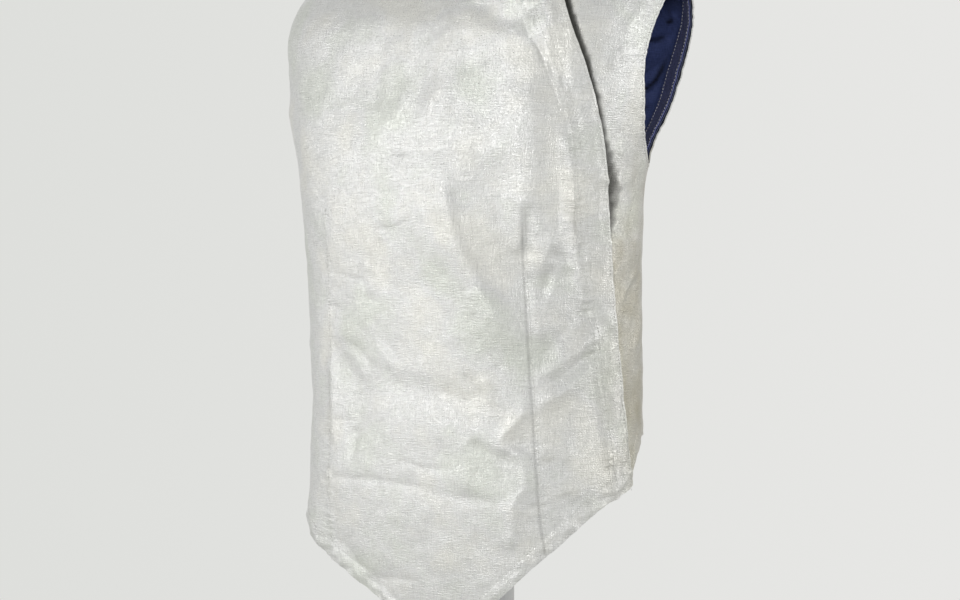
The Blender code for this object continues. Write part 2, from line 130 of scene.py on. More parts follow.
# The dark gap beside the flap's edge, painted as shade on the underlap: how wide it is and how deep its
# painted shade.
GAP_COLUMNS = ("level", "width", "shade")
FLAP_GAP = (
    (0.470, 0.0060, 0.30),
    (0.690, 0.0060, 0.35),
    (0.712, 0.0075, 0.50),
    (0.728, 0.0135, 0.88),
    (0.741, 0.0175, 0.94),
    (0.757, 0.0195, 0.96),
    (0.775, 0.0185, 0.96),
    (0.793, 0.0140, 0.96),
    (0.813, 0.0074, 0.96),
    (0.833, 0.0054, 0.97),
    (0.870, 0.0052, 0.98),
    (0.890, 0.0056, 0.98),
    (0.910, 0.0060, 0.97),
    (0.950, 0.0056, 0.97),
    (1.020, 0.0034, 0.80),
    (1.118, 0.0020, 0.60),
)

DART_COLUMNS = ("level", "wearer_left", "wearer_right")
DARTS = (
    (0.380, 56.0, -50.0),
    (0.450, 51.5, -47.0),
    (0.550, 49.0, -44.5),
    (0.650, 46.5, -42.0),
    (0.745, 44.0, -37.5),
)
DART_TOP = DARTS[-1][0]
DART_DEPTH = 0.0018
RIGHT_DART_DEPTH = 0.0004
DART_WIDTH = 0.012
DART_ROUNDING = 0.0015
DART_FADE = 0.060

# Cloth thicknesses and the room between layers.
LAME_WALL = 0.0015
LINING_WALL = 0.0010
TAPE_WALL = 0.0010
LAYER_GAP = 0.0014
FACING_GAP = 0.0005
LINING_SLACK = 0.0060
LINING_CLOSE_REACH = 0.020
LINING_SLACK_REACH = 0.040
LINING_HEM_RISE = 0.014
UNDERLAP_DROP = 0.0034
DOUBLED_TROUGH = 0.0015

# Sewing: bands, rows of stitches and edges.
FLAP_BAND = 0.030
HEM_BAND = 0.020
ARMHOLE_BAND = 0.010
FACING_WIDTH = 0.0255
STITCH_LENGTH = 0.0026
STITCH_PITCH = 0.0036
THREAD_RADIUS = 0.00035
FACING_THREAD_RADIUS = 0.00055
FLAP_STITCHES = (FLAP_BAND, FLAP_BAND - 0.006, 0.003)
EDGE_STITCH = 0.0035
FACING_STITCHES = (0.0025, 0.0230)

COLLAR_HEIGHT = 0.036
COLLAR_LEAN = 0.004
COLLAR_WALL = 0.0025
COLLAR_RADIUS = 0.068
COLLAR_END_GAP = 0.4
CLOSURE = {"bottom": 0.520, "top": 0.720, "inset": 4.0, "width": 6.0, "lift": 0.0015, "wall": 0.0010}

# Creases: height and width in millimetres (a negative height is a trough), how sharply it is folded along
# its line (0 is soft, 1 a crisp fold), its path through (angle, level) points, and for some a lean: above 0
# it is steeper towards the wearer's left, below 0 towards the right.
CREASE_COLUMNS = ("height", "width", "crisp", "path", "lean")
FOLD_ROUNDING = 0.15
FRONT_CREASES = (
    # the long fold above the point of the hem, with a fainter one over it
    (
        -1.2,
        4,
        0.8,
        ((-50, 0.472), (-35, 0.470), (-21, 0.470), (-9.5, 0.468), (-3.5, 0.466), (7, 0.464), (13, 0.458)),
    ),
    (-1.2, 5, 0.8, ((7, 0.463), (13, 0.458), (21, 0.456), (29.5, 0.454), (35, 0.450), (39, 0.442))),
    (0.8, 13, 0.3, ((-44, 0.486), (-21, 0.486), (-4.5, 0.484), (18.5, 0.476), (34.5, 0.466))),
    (-1.3, 3, 0.8, ((-7.5, 0.490), (0, 0.488), (5, 0.484), (18, 0.484))),
    (1.1, 3, 0.8, ((26.5, 0.490), (26, 0.476), (24.5, 0.462))),
    (-2.4, 11, 0.6, ((-48, 0.416), (-37, 0.390), (-26.5, 0.366), (-20, 0.352))),
    (-1.1, 3, 0.8, ((-26, 0.368), (-9.5, 0.370), (2, 0.370))),
    # from the breastbone down to the left dart
    (
        7.6,
        20,
        0.95,
        ((15, 0.792), (18.5, 0.756), (20, 0.730), (23.5, 0.700), (31, 0.662), (39, 0.626), (46, 0.600)),
        0.5,
    ),
    (-5.8, 24, 0.0, ((33, 0.800), (36, 0.766), (40.5, 0.720), (43.5, 0.676), (45, 0.640)), 0.3),
    (1.7, 5, 0.8, ((27, 0.662), (29.5, 0.638))),
    (-1.1, 3.5, 0.8, ((-12, 0.724), (-4.5, 0.722), (0.5, 0.728), (5.5, 0.734))),
    (-1.1, 5, 0.8, ((-11, 0.720), (-10.5, 0.682), (-8, 0.666))),
    (-4.2, 13, 0.6, ((-7, 0.802), (5, 0.802), (16, 0.802), (27, 0.804))),
    (2.2, 26, 0.0, ((-4, 0.842), (8, 0.842), (20, 0.842))),
    (-1.1, 3, 0.8, ((2, 0.766), (10.5, 0.764), (18.5, 0.766))),
    (1.4, 5, 0.8, ((-0.5, 0.798), (0, 0.776))),
    (1.4, 5, 0.8, ((22, 0.792), (28, 0.798))),
    # the pinch and the bulge at the top of the left dart, and what runs from it to the flap
    (3.2, 7, 0.8, ((42.5, 0.762), (43.5, 0.726), (43.5, 0.690))),
    (-4.2, 6, 0.8, ((46, 0.748), (46.5, 0.720), (46.5, 0.690))),
    (6.0, 11, 0.7, ((56.5, 0.768), (55.5, 0.744), (54.5, 0.716), (53, 0.700), (51, 0.672))),
    (-3.5, 7, 0.8, ((57, 0.702), (55, 0.684), (53, 0.668), (51, 0.652))),
    (2.2, 5, 0.8, ((57, 0.674), (55.5, 0.660), (54, 0.648))),
    (3.0, 15, 0.3, ((60, 0.742), (59.5, 0.702), (59.5, 0.676))),
    (-2.6, 5, 0.8, ((62, 0.748), (63.5, 0.720), (65, 0.702), (64, 0.682))),
    (-1.2, 5, 0.8, ((64.5, 0.668), (66.5, 0.658), (67, 0.646), (67, 0.634))),
    (-5.6, 13, 0.5, ((49.5, 0.584), (56, 0.608), (60, 0.620), (64, 0.630), (70, 0.648))),
    (5.6, 10, 0.7, ((52, 0.576), (60, 0.594), (65, 0.606), (72, 0.630))),
    (-3.4, 8, 0.7, ((52, 0.562), (60, 0.578), (64, 0.586), (71, 0.602))),
    (4.2, 9, 0.7, ((51, 0.548), (59, 0.562), (64, 0.574), (71, 0.590))),
    (-1.9, 10, 0.6, ((54.5, 0.534), (59, 0.542), (65, 0.556))),
    (1.4, 5, 0.8, ((49, 0.652), (51.5, 0.630), (51, 0.608))),
    # lower down, between the left dart and the flap's band
    (-2.4, 6, 0.8, ((52, 0.496), (56.5, 0.488), (61, 0.478))),
    (1.8, 5, 0.8, ((52, 0.504), (56, 0.495))),
    (1.8, 5, 0.8, ((60.5, 0.514), (61, 0.492))),
    (1.7, 5, 0.8, ((63.5, 0.470), (64, 0.454))),
    (-2.2, 6, 0.8, ((60.5, 0.462), (62, 0.442))),
    (1.9, 5, 0.8, ((62, 0.442), (61.5, 0.418))),
    # the forked crease low beside the left dart
    (-2.6, 8, 0.8, ((26.5, 0.514), (33, 0.502), (38.5, 0.494), (43, 0.488))),
    (3.0, 6, 0.8, ((46.5, 0.558), (46, 0.540), (42, 0.526), (39.5, 0.518), (39.5, 0.508))),
    (3.9, 6, 0.8, ((39.5, 0.518), (39.5, 0.508), (42.5, 0.502), (45.5, 0.496), (47, 0.480), (47.5, 0.462))),
    (3.3, 7, 0.8, ((47.5, 0.470), (43.5, 0.452), (43, 0.438), (43, 0.420), (41.5, 0.404))),
    (-1.5, 6, 0.8, ((42, 0.514), (45, 0.508), (48, 0.514))),
    # beside the right dart
    (-1.0, 3.5, 0.8, ((-39.5, 0.682), (-32.5, 0.678), (-26, 0.674), (-21, 0.674), (-17, 0.683))),
    (-1.7, 6, 0.8, ((-19.5, 0.674), (-22, 0.648))),
    (-1.3, 5, 0.8, ((-17, 0.660), (-17, 0.642), (-19.5, 0.626))),
    (-2.2, 9, 0.6, ((-41.5, 0.646), (-33, 0.642), (-25, 0.648))),
    (1.2, 4.5, 0.8, ((-17, 0.618), (-15, 0.604), (-11, 0.594), (-8, 0.582))),
    (-1.2, 4.5, 0.8, ((-12.5, 0.622), (-10.5, 0.608), (-7, 0.598), (-4, 0.588))),
    (1.8, 7, 0.8, ((-35.5, 0.602), (-29, 0.594), (-25.5, 0.584), (-23.5, 0.570))),
    (-1.4, 5, 0.8, ((-30, 0.607), (-25, 0.600), (-21.5, 0.590), (-19.5, 0.577))),
    (-5.4, 23, 0.1, ((-39, 0.610), (-34.0, 0.588), (-30.0, 0.568), (-27.5, 0.545), (-26.5, 0.505)), -0.2),
    (2.4, 7, 0.3, ((-43.5, 0.598), (-41.5, 0.580), (-41, 0.560), (-41, 0.530), (-41, 0.500))),
    (-3.2, 14, 0.4, ((-18, 0.572), (-5.5, 0.566), (12, 0.560), (26, 0.550), (34, 0.536))),
    (2.2, 20, 0.0, ((-22, 0.536), (-5, 0.532), (14, 0.528), (28, 0.520))),
    (-1.9, 6, 0.8, ((24, 0.582), (27.5, 0.566), (29.5, 0.551))),
    (2.6, 7, 0.8, ((32, 0.577), (34.5, 0.562), (35, 0.545))),
    (-3.2, 8, 0.7, ((-29, 0.524), (-30, 0.508), (-30.5, 0.488))),
    (-1.1, 3, 0.8, ((-43, 0.528), (-36.5, 0.528), (-30, 0.528))),
    # down from the shoulders and the neck
    (-1.1, 8, 0.8, ((-31, 0.985), (-30, 0.954), (-31, 0.936), (-33, 0.918), (-35, 0.900), (-37, 0.885))),
    (1.0, 9, 0.6, ((-38.5, 0.978), (-38.5, 0.950), (-40, 0.932), (-42.5, 0.914))),
    (1.1, 11, 0.6, ((-23.5, 0.950), (-26, 0.894), (-31, 0.872), (-35.5, 0.852), (-37.5, 0.828))),
    (-1.1, 14, 0.3, ((-18, 0.896), (-23, 0.866), (-23.5, 0.838), (-24, 0.812))),
    (1.4, 9, 0.5, ((-3, 0.975), (0, 0.930), (0, 0.892), (0, 0.858), (-5, 0.832), (-11, 0.806))),
    (-1.8, 6, 0.8, ((-11.5, 0.948), (-12, 0.902), (-12.5, 0.854), (-15, 0.838))),
    (-2.2, 10, 0.3, ((2, 0.985), (6, 0.930), (6, 0.894), (6.5, 0.858), (2, 0.830), (-4.5, 0.802)), -0.3),
    (2.4, 24, 0.0, ((9, 0.965), (11, 0.905), (12, 0.850), (8, 0.815))),
    (-2.6, 22, 0.0, ((25, 0.905), (28, 0.860), (30, 0.815))),
    (1.8, 4.5, 0.8, ((9.5, 0.980), (14.5, 0.928), (14.5, 0.888))),
    (-1.1, 5, 0.8, ((6, 0.985), (10.5, 0.930), (10.5, 0.892), (10.5, 0.852))),
    (-1.9, 7, 0.8, ((20.5, 0.928), (22, 0.870))),
    # the hooked fold under the neck, and the long bulge below it
    (5.0, 15, 0.4, ((28, 0.988), (31, 0.970), (35, 0.964), (38.5, 0.974))),
    (-4.8, 14, 0.3, ((24.5, 0.974), (27.5, 0.952), (31, 0.940), (35, 0.937), (38.5, 0.940), (42, 0.940))),
    (-2.0, 4, 0.8, ((38, 0.936), (40, 0.918), (43.5, 0.900), (45.5, 0.890), (47.5, 0.880), (49, 0.856))),
    (6.4, 20, 0.3, ((42, 0.870), (45.5, 0.818), (47.5, 0.780), (47.5, 0.738), (46.5, 0.695))),
    (-5.0, 16, 0.3, ((51.5, 0.890), (56.5, 0.840), (60.5, 0.795), (62.5, 0.748), (64.5, 0.700), (66, 0.655))),
    (1.9, 4, 0.8, ((51.5, 0.912), (53, 0.876), (55.5, 0.855))),
    (1.4, 4, 0.8, ((52.5, 0.842), (56.5, 0.813))),
    (-1.0, 4, 0.8, ((33.5, 0.868), (37.5, 0.874), (42, 0.878))),
    # across the flap's band
    (1.6, 4, 0.8, ((68, 0.775), (72, 0.768))),
    (1.6, 4, 0.8, ((69, 0.745), (74, 0.735))),
    (-1.6, 4, 0.8, ((70, 0.722), (75, 0.712))),
    (1.7, 4, 0.8, ((70, 0.640), (74, 0.632), (77, 0.622))),
    (-1.7, 5, 0.8, ((73, 0.622), (77, 0.606))),
    (1.9, 5, 0.8, ((75.5, 0.566), (77, 0.548), (77, 0.530))),
    # round the wearer's right side, where the hem stands out a little
    (5.0, 26, 0.0, ((-50, 0.398), (-70, 0.424), (-95, 0.455))),
    (-2.2, 34, 0.0, ((-58, 0.545), (-90, 0.560))),
    (2.7, 8, 0.8, ((-62, 0.860), (-70, 0.800))),
    (-3.4, 9, 0.6, ((-96, 0.740), (-82, 0.700), (-64, 0.690))),
    (3.0, 8, 0.8, ((-98, 0.660), (-80, 0.620), (-66, 0.600))),
    (-2.2, 6, 0.8, ((-98, 0.580), (-84, 0.550))),
    (2.2, 6, 0.8, ((-92, 0.500), (-78, 0.470))),
)
SIDE_CREASES = (
    (1.8, 5, 0.0, ((68, 0.906), (63, 0.880))),
    (1.5, 6, 0.0, ((72, 0.950), (66, 0.920))),
    (1.4, 4, 0.0, ((76, 0.804), (82, 0.790))),
    (1.4, 4, 0.0, ((77, 0.775), (82, 0.762))),
    (-1.4, 4, 0.0, ((76, 0.750), (81, 0.738))),
    (-2.0, 9, 0.5, ((104, 0.692), (95, 0.676), (84, 0.650))),
    (1.6, 4, 0.8, ((96, 0.684), (89, 0.672), (81, 0.646))),
    (2.0, 8, 0.0, ((100, 0.640), (90, 0.600))),
)
BACK_CREASES = (
    (-4.0, 18, 0.0, ((150, 0.700), (178, 0.682), (205, 0.672))),
    (4.0, 18, 0.0, ((158, 0.615), (186, 0.632), (214, 0.640))),
    (-3.5, 18, 0.0, ((192, 0.900), (200, 0.850), (212, 0.790))),
    (3.5, 18, 0.0, ((148, 0.880), (153, 0.820), (160, 0.760))),
    (1.8, 6, 0.0, ((140, 0.716), (165, 0.700), (190, 0.694))),
    (-1.6, 5, 0.0, ((170, 0.650), (196, 0.660), (222, 0.655))),
    (-1.8, 7, 0.0, ((132, 0.600), (150, 0.575), (172, 0.572))),
    (1.6, 6, 0.0, ((205, 0.590), (226, 0.570), (244, 0.575))),
    (2.0, 8, 0.0, ((168, 0.990), (166, 0.930), (160, 0.870))),
    (-1.8, 7, 0.0, ((206, 0.980), (210, 0.930), (220, 0.880))),
    (1.6, 6, 0.0, ((128, 0.780), (140, 0.740), (156, 0.726))),
    (-1.5, 6, 0.0, ((232, 0.770), (222, 0.736), (204, 0.724))),
)
LINING_CREASES = (
    (-2.6, 4, 0.0, ((116, 0.960), (114, 0.945), (112, 0.941))),
    (-2.2, 4, 0.0, ((128, 0.922), (122, 0.926), (117, 0.930))),
    (-3.0, 4, 0.0, ((128, 0.886), (122, 0.896), (116, 0.914))),
    (-3.0, 4, 0.0, ((130, 0.856), (122, 0.872), (116, 0.890))),
    (-2.4, 4, 0.0, ((128, 0.846), (122, 0.844), (116, 0.844))),
    (2.4, 7, 0.0, ((134, 0.905), (124, 0.910), (117, 0.918))),
    (2.4, 7, 0.0, ((134, 0.870), (124, 0.885), (117, 0.900))),
    (2.0, 8, 0.0, ((150, 0.820), (132, 0.830), (118, 0.826))),
    (-2.6, 5, 0.0, ((232, 0.922), (238, 0.926), (243, 0.930))),
    (-2.8, 5, 0.0, ((230, 0.870), (238, 0.880), (244, 0.896))),
    (2.2, 7, 0.0, ((226, 0.896), (236, 0.905), (243, 0.912))),
    (-2.0, 8, 0.0, ((-60, 0.900), (-50, 0.860), (-30, 0.840))),
    (2.0, 8, 0.0, ((60, 0.900), (50, 0.860), (30, 0.840))),
)

# Painted shade: folds pressed flat in the lining show as dark lines, and one broad row paints shade over
# the top of the armhole: depth of shade in hundredths, then as above.
LINING_FOLDS = (
    (98, 2.4, 0.3, ((135, 0.862), (129, 0.870), (124, 0.880), (120.5, 0.897), (119, 0.909))),
    (95, 2.2, 0.3, ((133, 0.842), (126, 0.850), (123, 0.856))),
    (92, 2.2, 0.3, ((131, 0.924), (125, 0.927), (121, 0.928), (119, 0.931))),
    (90, 2.2, 0.3, ((119, 0.944), (116, 0.948))),
    (75, 2.4, 0.3, ((136, 0.890), (130, 0.892), (126, 0.905))),
    (35, 6.0, 0.0, ((136, 0.850), (131, 0.868), (130, 0.890))),
    (92, 20.0, 0.0, ((105, 0.985), (118, 0.978), (135, 0.972), (150, 0.965))),
    (95, 2.4, 0.3, ((232, 0.868), (237, 0.880), (241, 0.900))),
    (92, 2.2, 0.3, ((228, 0.930), (235, 0.928), (241, 0.936))),
    (90, 2.2, 0.3, ((-60, 0.890), (-68, 0.870), (-74, 0.860))),
)


# ---------------------------------------------------------------- tables and curves


def column(table, columns, name):
    """One named column of a table, as an array."""
    index = columns.index(name)
    return np.array([row[index] for row in table], float)


def smooth(at, knots, values):
    """A curve through the knots that never overshoots them (a monotone cubic)."""
    at = np.clip(at, knots[0], knots[-1])
    steps = np.diff(knots)
    slopes = np.diff(values) / steps
    tangents = np.zeros(len(knots))
    for i in range(1, len(knots) - 1):
        if slopes[i - 1] * slopes[i] > 0:
            tangents[i] = 2 * slopes[i - 1] * slopes[i] / (slopes[i - 1] + slopes[i])
    tangents[0], tangents[-1] = slopes[0], slopes[-1]
    i = np.clip(np.searchsorted(knots, at, side="right") - 1, 0, len(steps) - 1)
    h = steps[i]
    s = (at - knots[i]) / h
    return (
        values[i] * (1 + 2 * s) * (1 - s) ** 2
        + tangents[i] * h * s * (1 - s) ** 2
        + values[i + 1] * s * s * (3 - 2 * s)
        + tangents[i + 1] * h * s * s * (s - 1)
    )


def lookup(table, columns, name, at):
    """A smooth curve through one named column, read at values of the table's first column."""
    return smooth(at, column(table, columns, columns[0]), column(table, columns, name))


def ease(value):
    """0 below 0, 1 above 1, and a smooth step between."""
    value = np.clip(value, 0, 1)
    return value * value * (3 - 2 * value)


def signed(angle):
    """The angle brought into -180 to 180."""
    return (np.asarray(angle, float) + 180) % 360 - 180


def crowded(count, amount):
    """Shares from 0 to 1, closer together towards both ends."""
    shares = np.linspace(0, 1, count + 1)
    return (1 - amount) * shares + amount * (1 - np.cos(math.pi * shares)) / 2


def ring_points(angle, level):
    """Points of the garment's figure at each angle and level."""

    def value(name):
        return lookup(GARMENT_RINGS, RING_COLUMNS, name, level)

    turn = np.radians(angle)
    ahead, aside = np.cos(turn), np.sin(turn)
    depth = np.where(ahead > 0, value("front"), value("back"))
    square = np.where(ahead > 0, value("front_square"), value("back_square"))
    inverse = np.abs(ahead / depth) ** square + np.abs(aside / value("half_width")) ** square
    radius = inverse ** (-1 / square)
    middle = np.where(ahead > 0, value("front_z"), value("back_z"))
    z = middle + (value("side_z") - middle) * aside**2
    return np.stack([radius * aside, AXIS_Y + value("centre") - radius * ahead, z], axis=-1)


def outward(angle, level):
    """Unit normals of the figure, pointing out."""
    turn_step, level_step = 0.05, 0.0002
    round_it = ring_points(angle + turn_step, level) - ring_points(angle - turn_step, level)
    up_it = ring_points(angle, level + level_step) - ring_points(angle, level - level_step)
    normal = np.cross(round_it, up_it)
    return normal / np.linalg.norm(normal, axis=-1, keepdims=True)


def arc_length(degrees):
    """Length round the body that an angle takes, near enough for creases and bands."""
    return np.radians(degrees) * ARC_RADIUS


def degrees_of(length, angle, level):
    """How many degrees a length round the body takes at this place."""
    step = 0.5
    arc = ring_points(angle + step, level) - ring_points(angle - step, level)
    return length / np.linalg.norm(arc, axis=-1) * 2 * step


def hem_height(angle):
    return lookup(HEM, HEM_COLUMNS, "height", signed(angle))


def lining_hem(angle):
    return hem_height(angle) + LINING_HEM_RISE


def flap_edge(level):
    return lookup(FLAP_EDGE, FLAP_COLUMNS, "angle", level)


def flap_inner_end(level):
    """Where the underlap begins, beneath the front."""
    return flap_edge(level) - OVERLAP_ANGLE


def flap_stitch(level):
    """The row of stitches that holds the flap's band."""
    edge = flap_edge(level)
    return edge - degrees_of(FLAP_BAND, edge, level)


def left_dart(level):
    return lookup(DARTS, DART_COLUMNS, "wearer_left", level)


def right_dart(level):
    return lookup(DARTS, DART_COLUMNS, "wearer_right", level)


def left_of_band(level):
    """The left dart, carried on upwards so that it keeps clear of the flap's band."""
    gap = flap_stitch(level) - 7.0 - left_dart(level)
    return left_dart(level) + np.where(gap < 0, gap, 0.0)


def armhole(level, reach, roundness):
    """Angle of an armhole's edge: the seam's own angle, and a rounded reach from it over the armhole."""
    share = np.clip((level - UNDERARM_LEVEL) / (SHOULDER_LEVEL - UNDERARM_LEVEL), 0, 1)
    seam = SIDE_SEAM + (SHOULDER_SEAM - SIDE_SEAM) * ease(share)
    return seam + reach * np.clip(np.sin(math.pi * share), 0, 1) ** roundness


def front_side(level):
    """Where the front pieces end: side seam, armhole, then shoulder seam."""
    return armhole(level, **ARMHOLE_FRONT)


def back_side(level):
    return armhole(level, **ARMHOLE_BACK)


def right_front_side(level):
    return -front_side(level)


def right_back_side(level):
    return 360 - back_side(level)


# ---------------------------------------------------------------- relief


def crease_relief(creases, angle, level):
    """Outward push of a table of creases."""
    push = np.zeros(angle.shape)
    for row in creases:
        crease = dict(zip(CREASE_COLUMNS, row))
        width = crease["width"] * MM
        path = np.array(crease["path"], float)
        middle = path[:, 0].mean()
        across = arc_length(signed(angle - middle))
        line = np.stack([arc_length(path[:, 0] - middle), path[:, 1]], axis=-1)
        reach = 4 * width
        near = (across > line[:, 0].min() - reach) & (across < line[:, 0].max() + reach)
        near &= (level > line[:, 1].min() - reach) & (level < line[:, 1].max() + reach)
        spots = np.stack([across[near], level[near]], axis=-1)
        lean = crease.get("lean", 0.0)
        push[near] += crease["height"] * MM * ridge(spots, line, width, crease["crisp"], lean)
    return push


def rounded_path(line, parts=6):
    """A smooth curve through a few points (Catmull-Rom), cut into short straight parts."""
    ends = np.vstack([2 * line[0] - line[1], line, 2 * line[-1] - line[-2]])
    share = np.arange(parts)[:, None] / parts
    curve = []
    for before, start, end, after in zip(ends, ends[1:], ends[2:], ends[3:]):
        slope_in, slope_out = (end - before) / 2, (after - start) / 2
        curve.append(
            start
            + slope_in * share
            + (3 * (end - start) - 2 * slope_in - slope_out) * share**2
            + (2 * (start - end) + slope_in + slope_out) * share**3
        )
    return np.vstack([*curve, line[-1:]])


def ridge(spots, line, width, crisp, lean):
    """Height from 0 to 1 of a crease along a line: highest in its middle, fading at both ends."""
    line = rounded_path(line)
    lengths = np.linalg.norm(np.diff(line, axis=0), axis=-1)
    starts = np.concatenate([[0], np.cumsum(lengths)])
    best = np.full(len(spots), np.inf)
    share = np.zeros(len(spots))
    aside = np.zeros(len(spots))
    for i, (start, end) in enumerate(zip(line, line[1:])):
        run = (end - start) / lengths[i]
        from_start = spots - start
        along = np.clip(from_start @ run, 0, lengths[i])
        distance = np.linalg.norm(from_start - along[:, None] * run, axis=-1)
        closer = distance < best
        best[closer] = distance[closer]
        share[closer] = ((starts[i] + along) / starts[-1])[closer]
        aside[closer] = (from_start[:, 0] - along * run[0])[closer]
    fade = ease(share / 0.3 + 0.25) * ease((1 - share) / 0.3 + 0.25)
    width = width * (1 - lean * np.clip(2 * aside / width, -1, 1))
    soft = np.exp(-((best / width) ** 2))
    folded = np.exp(FOLD_ROUNDING - np.hypot(best / width, FOLD_ROUNDING))
    return fade * ((1 - crisp) * soft + crisp * folded)


def ripple(along, spacing, seed):
    """An uneven wave between -1 and 1, whose spacing and height wander."""
    phase = 2 * math.pi * along / spacing
    wander = 1.9 * np.sin(phase / 3.7 + seed) + 1.1 * np.sin(phase / 7.3 + 2 * seed)
    return np.sin(phase + wander) * (0.65 + 0.35 * np.sin(phase / 5.1 + 3 * seed))


def crumple(points, spacing, seed):
    """Smooth uneven relief between -1 and 1."""
    shift = Vector((seed, 2 * seed, 3 * seed))
    flat = points.reshape(-1, 3) / spacing
    values = [noise.noise(Vector(point) + shift) for point in flat]
    return np.array(values).reshape(points.shape[:-1])


def dart_relief(angle, level):
    """The pull of both darts, with a groove at each seam, far shallower on the wearer's right."""
    fade = ease((DART_TOP - level) / DART_FADE)
    push = np.zeros(angle.shape)
    for seam, depth, seed in ((left_dart, DART_DEPTH, 1.0), (right_dart, RIGHT_DART_DEPTH, 2.0)):
        aside = np.abs(arc_length(signed(angle - seam(level))))
        rounded = np.hypot(aside, DART_ROUNDING) - DART_ROUNDING
        push -= fade * depth * np.exp(-rounded / DART_WIDTH)
        lower = ease((0.58 - level) / 0.10)
        beads = ripple(level, 0.009, seed) * np.exp(-(((aside - 0.004) / 0.004) ** 2))
        push += fade * (0.0002 + 0.0006 * lower) * beads
    return push


def flap_relief(angle, level):
    """Puckers and a curl of the flap's band, between its row of stitches and its edge."""
    inside = arc_length(flap_edge(level) - angle)
    on_band = ease(inside / 0.004 + 0.5) * ease((FLAP_BAND + 0.004 - inside) / 0.006)
    stitched = np.exp(-(((inside - FLAP_BAND) / 0.0016) ** 2))
    beads = ripple(level + 0.3 * inside, 0.010, 3.0) * np.exp(-(((inside - FLAP_BAND + 0.004) / 0.005) ** 2))
    edge = ripple(level - 0.2 * inside, 0.017, 3.5) * np.exp(-((inside / 0.006) ** 2))
    figure = ring_points(angle, level) * np.array([1, 1, 0.4])
    puckers = 0.0016 * crumple(figure, 0.010, 4.0) + 0.0010 * crumple(figure, 0.005, 5.0)
    curl = 0.0012 * np.exp(-((inside / 0.012) ** 2)) * ease((0.90 - level) / 0.06)
    sunk = 0.0010 * np.exp(-np.abs(inside - FLAP_BAND) / 0.015) * ease((0.92 - level) / 0.05)
    sunk = sunk * ease((level - 0.47) / 0.10)
    return on_band * (0.0004 + puckers) + curl - sunk + 0.0006 * beads + 0.0004 * edge - 0.0006 * stitched


def hem_relief(angle, level):
    """Puckers of the turned hem, and the groove of its stitches."""
    above = level - hem_height(angle)
    along = arc_length(signed(angle))
    on_band = ease((HEM_BAND + 0.003 - above) / 0.006)
    stitched = np.exp(-((above - HEM_BAND) / 0.0018) ** 2)
    figure = ring_points(angle, level)
    puckers = 0.0004 * ripple(along + 0.3 * above, 0.0105, 4.0) + 0.0018 * crumple(figure, 0.009, 10.0)
    on_roll = np.exp(-(((above - 0.45 * HEM_BAND) / 0.006) ** 2))
    roll = (0.0003 + 0.0012 * crumple(figure, 0.016, 11.0)) * on_roll
    beside = np.exp(-(((np.abs(signed(angle)) - 97) / 9) ** 2))
    return (1 - 0.7 * beside) * (on_band * (0.0005 + puckers) + roll - 0.0003 * stitched)


def armhole_relief(angle, level):
    """Puckers of the narrow turning round the armholes."""
    beside = np.abs(signed(angle))
    aside = arc_length(np.maximum(front_side(level) - beside, beside - back_side(level)))
    in_armhole = ease((level - UNDERARM_LEVEL) / 0.01) * ease((SHOULDER_LEVEL - level) / 0.01)
    on_band = in_armhole * ease((ARMHOLE_BAND + 0.004 - aside) / 0.006)
    return on_band * 0.0005 * ripple(level, 0.011, 5.0)


def seam_relief(angle, level):
    """The side and shoulder seams sink a little, where two edges are sewn together."""
    beside = np.abs(signed(angle))
    seam = (front_side(level) + back_side(level)) / 2
    closed = 1 - ease((level - UNDERARM_LEVEL) / 0.01) * ease((SHOULDER_LEVEL - level) / 0.01)
    return -0.0006 * closed * np.exp(-np.abs(arc_length(beside - seam)) / 0.003)


def lame_relief(creases, angle, level):
    """Everything that stands out of or sinks into the smooth figure, except the flap's lift."""
    figure = ring_points(angle, level)
    push = crease_relief(creases, angle, level)
    push += dart_relief(angle, level)
    push += 0.0013 * crumple(figure, 0.038, 1.0)
    push += 0.0006 * crumple(figure, 0.014, 2.0)
    push *= ease((NECK_LEVEL - level) / (NECK_LEVEL - SHOULDER_LEVEL))
    return push + hem_relief(angle, level) + armhole_relief(angle, level) + seam_relief(angle, level)


def flap_lift(angle, level):
    """The front stands off the underlap over the overlap, and comes down to the body beyond it."""
    lift = lookup(FLAP_EDGE, FLAP_COLUMNS, "lift", level)
    return lift * ease((angle - flap_edge(level) + FLAP_RAMP_START) / FLAP_RAMP_ANGLE)


def pushed(angle, level, push):
    return ring_points(angle, level) + outward(angle, level) * push[..., None]


def front_relief(angle, level):
    """The front's relief. Its troughs stay shallow along the flap's edge, where the cloth is doubled."""
    push = lame_relief(FRONT_CREASES, angle, level)
    inside = arc_length(flap_edge(level) - angle)
    doubled = ease((0.026 - inside) / 0.022)
    shallow = np.where(push < 0, DOUBLED_TROUGH * np.tanh(push / DOUBLED_TROUGH), push)
    return push + doubled * (shallow - push)


def front_surface(angle, level):
    push = front_relief(angle, level)
    return pushed(angle, level, push + flap_lift(angle, level) + flap_relief(angle, level))


def gap_share(angle, level):
    """How near the underlap is to the flap's edge, from 1 in the gap to 0 out of it, times how deep the gap's
    painted shade is there.
    """
    beyond = arc_length(angle - flap_edge(level))
    uneven = 1 + 0.30 * crumple(ring_points(angle, level), 0.008, 6.0)
    width = lookup(FLAP_GAP, GAP_COLUMNS, "width", level) * uneven
    return np.exp(-((np.maximum(beyond, 0) / width) ** 6)) * lookup(FLAP_GAP, GAP_COLUMNS, "shade", level)


def hidden_push(angle, level):
    """How deep the underlap lies beneath the flap, below the front's own troughs."""
    return np.minimum(front_relief(angle, level), 0) - UNDERLAP_DROP


def underlap_surface(angle, level):
    """The underlap follows the flap's inward creases where the flap hides it, and sinks beside its edge."""
    shown = ease((angle - flap_edge(level)) / 2 + 0.5)
    above = hidden_push(angle, level)
    own = lame_relief(SIDE_CREASES, angle, level) - 0.0022 * gap_share(angle, level)
    return pushed(angle, level, above * (1 - shown) + own * shown)


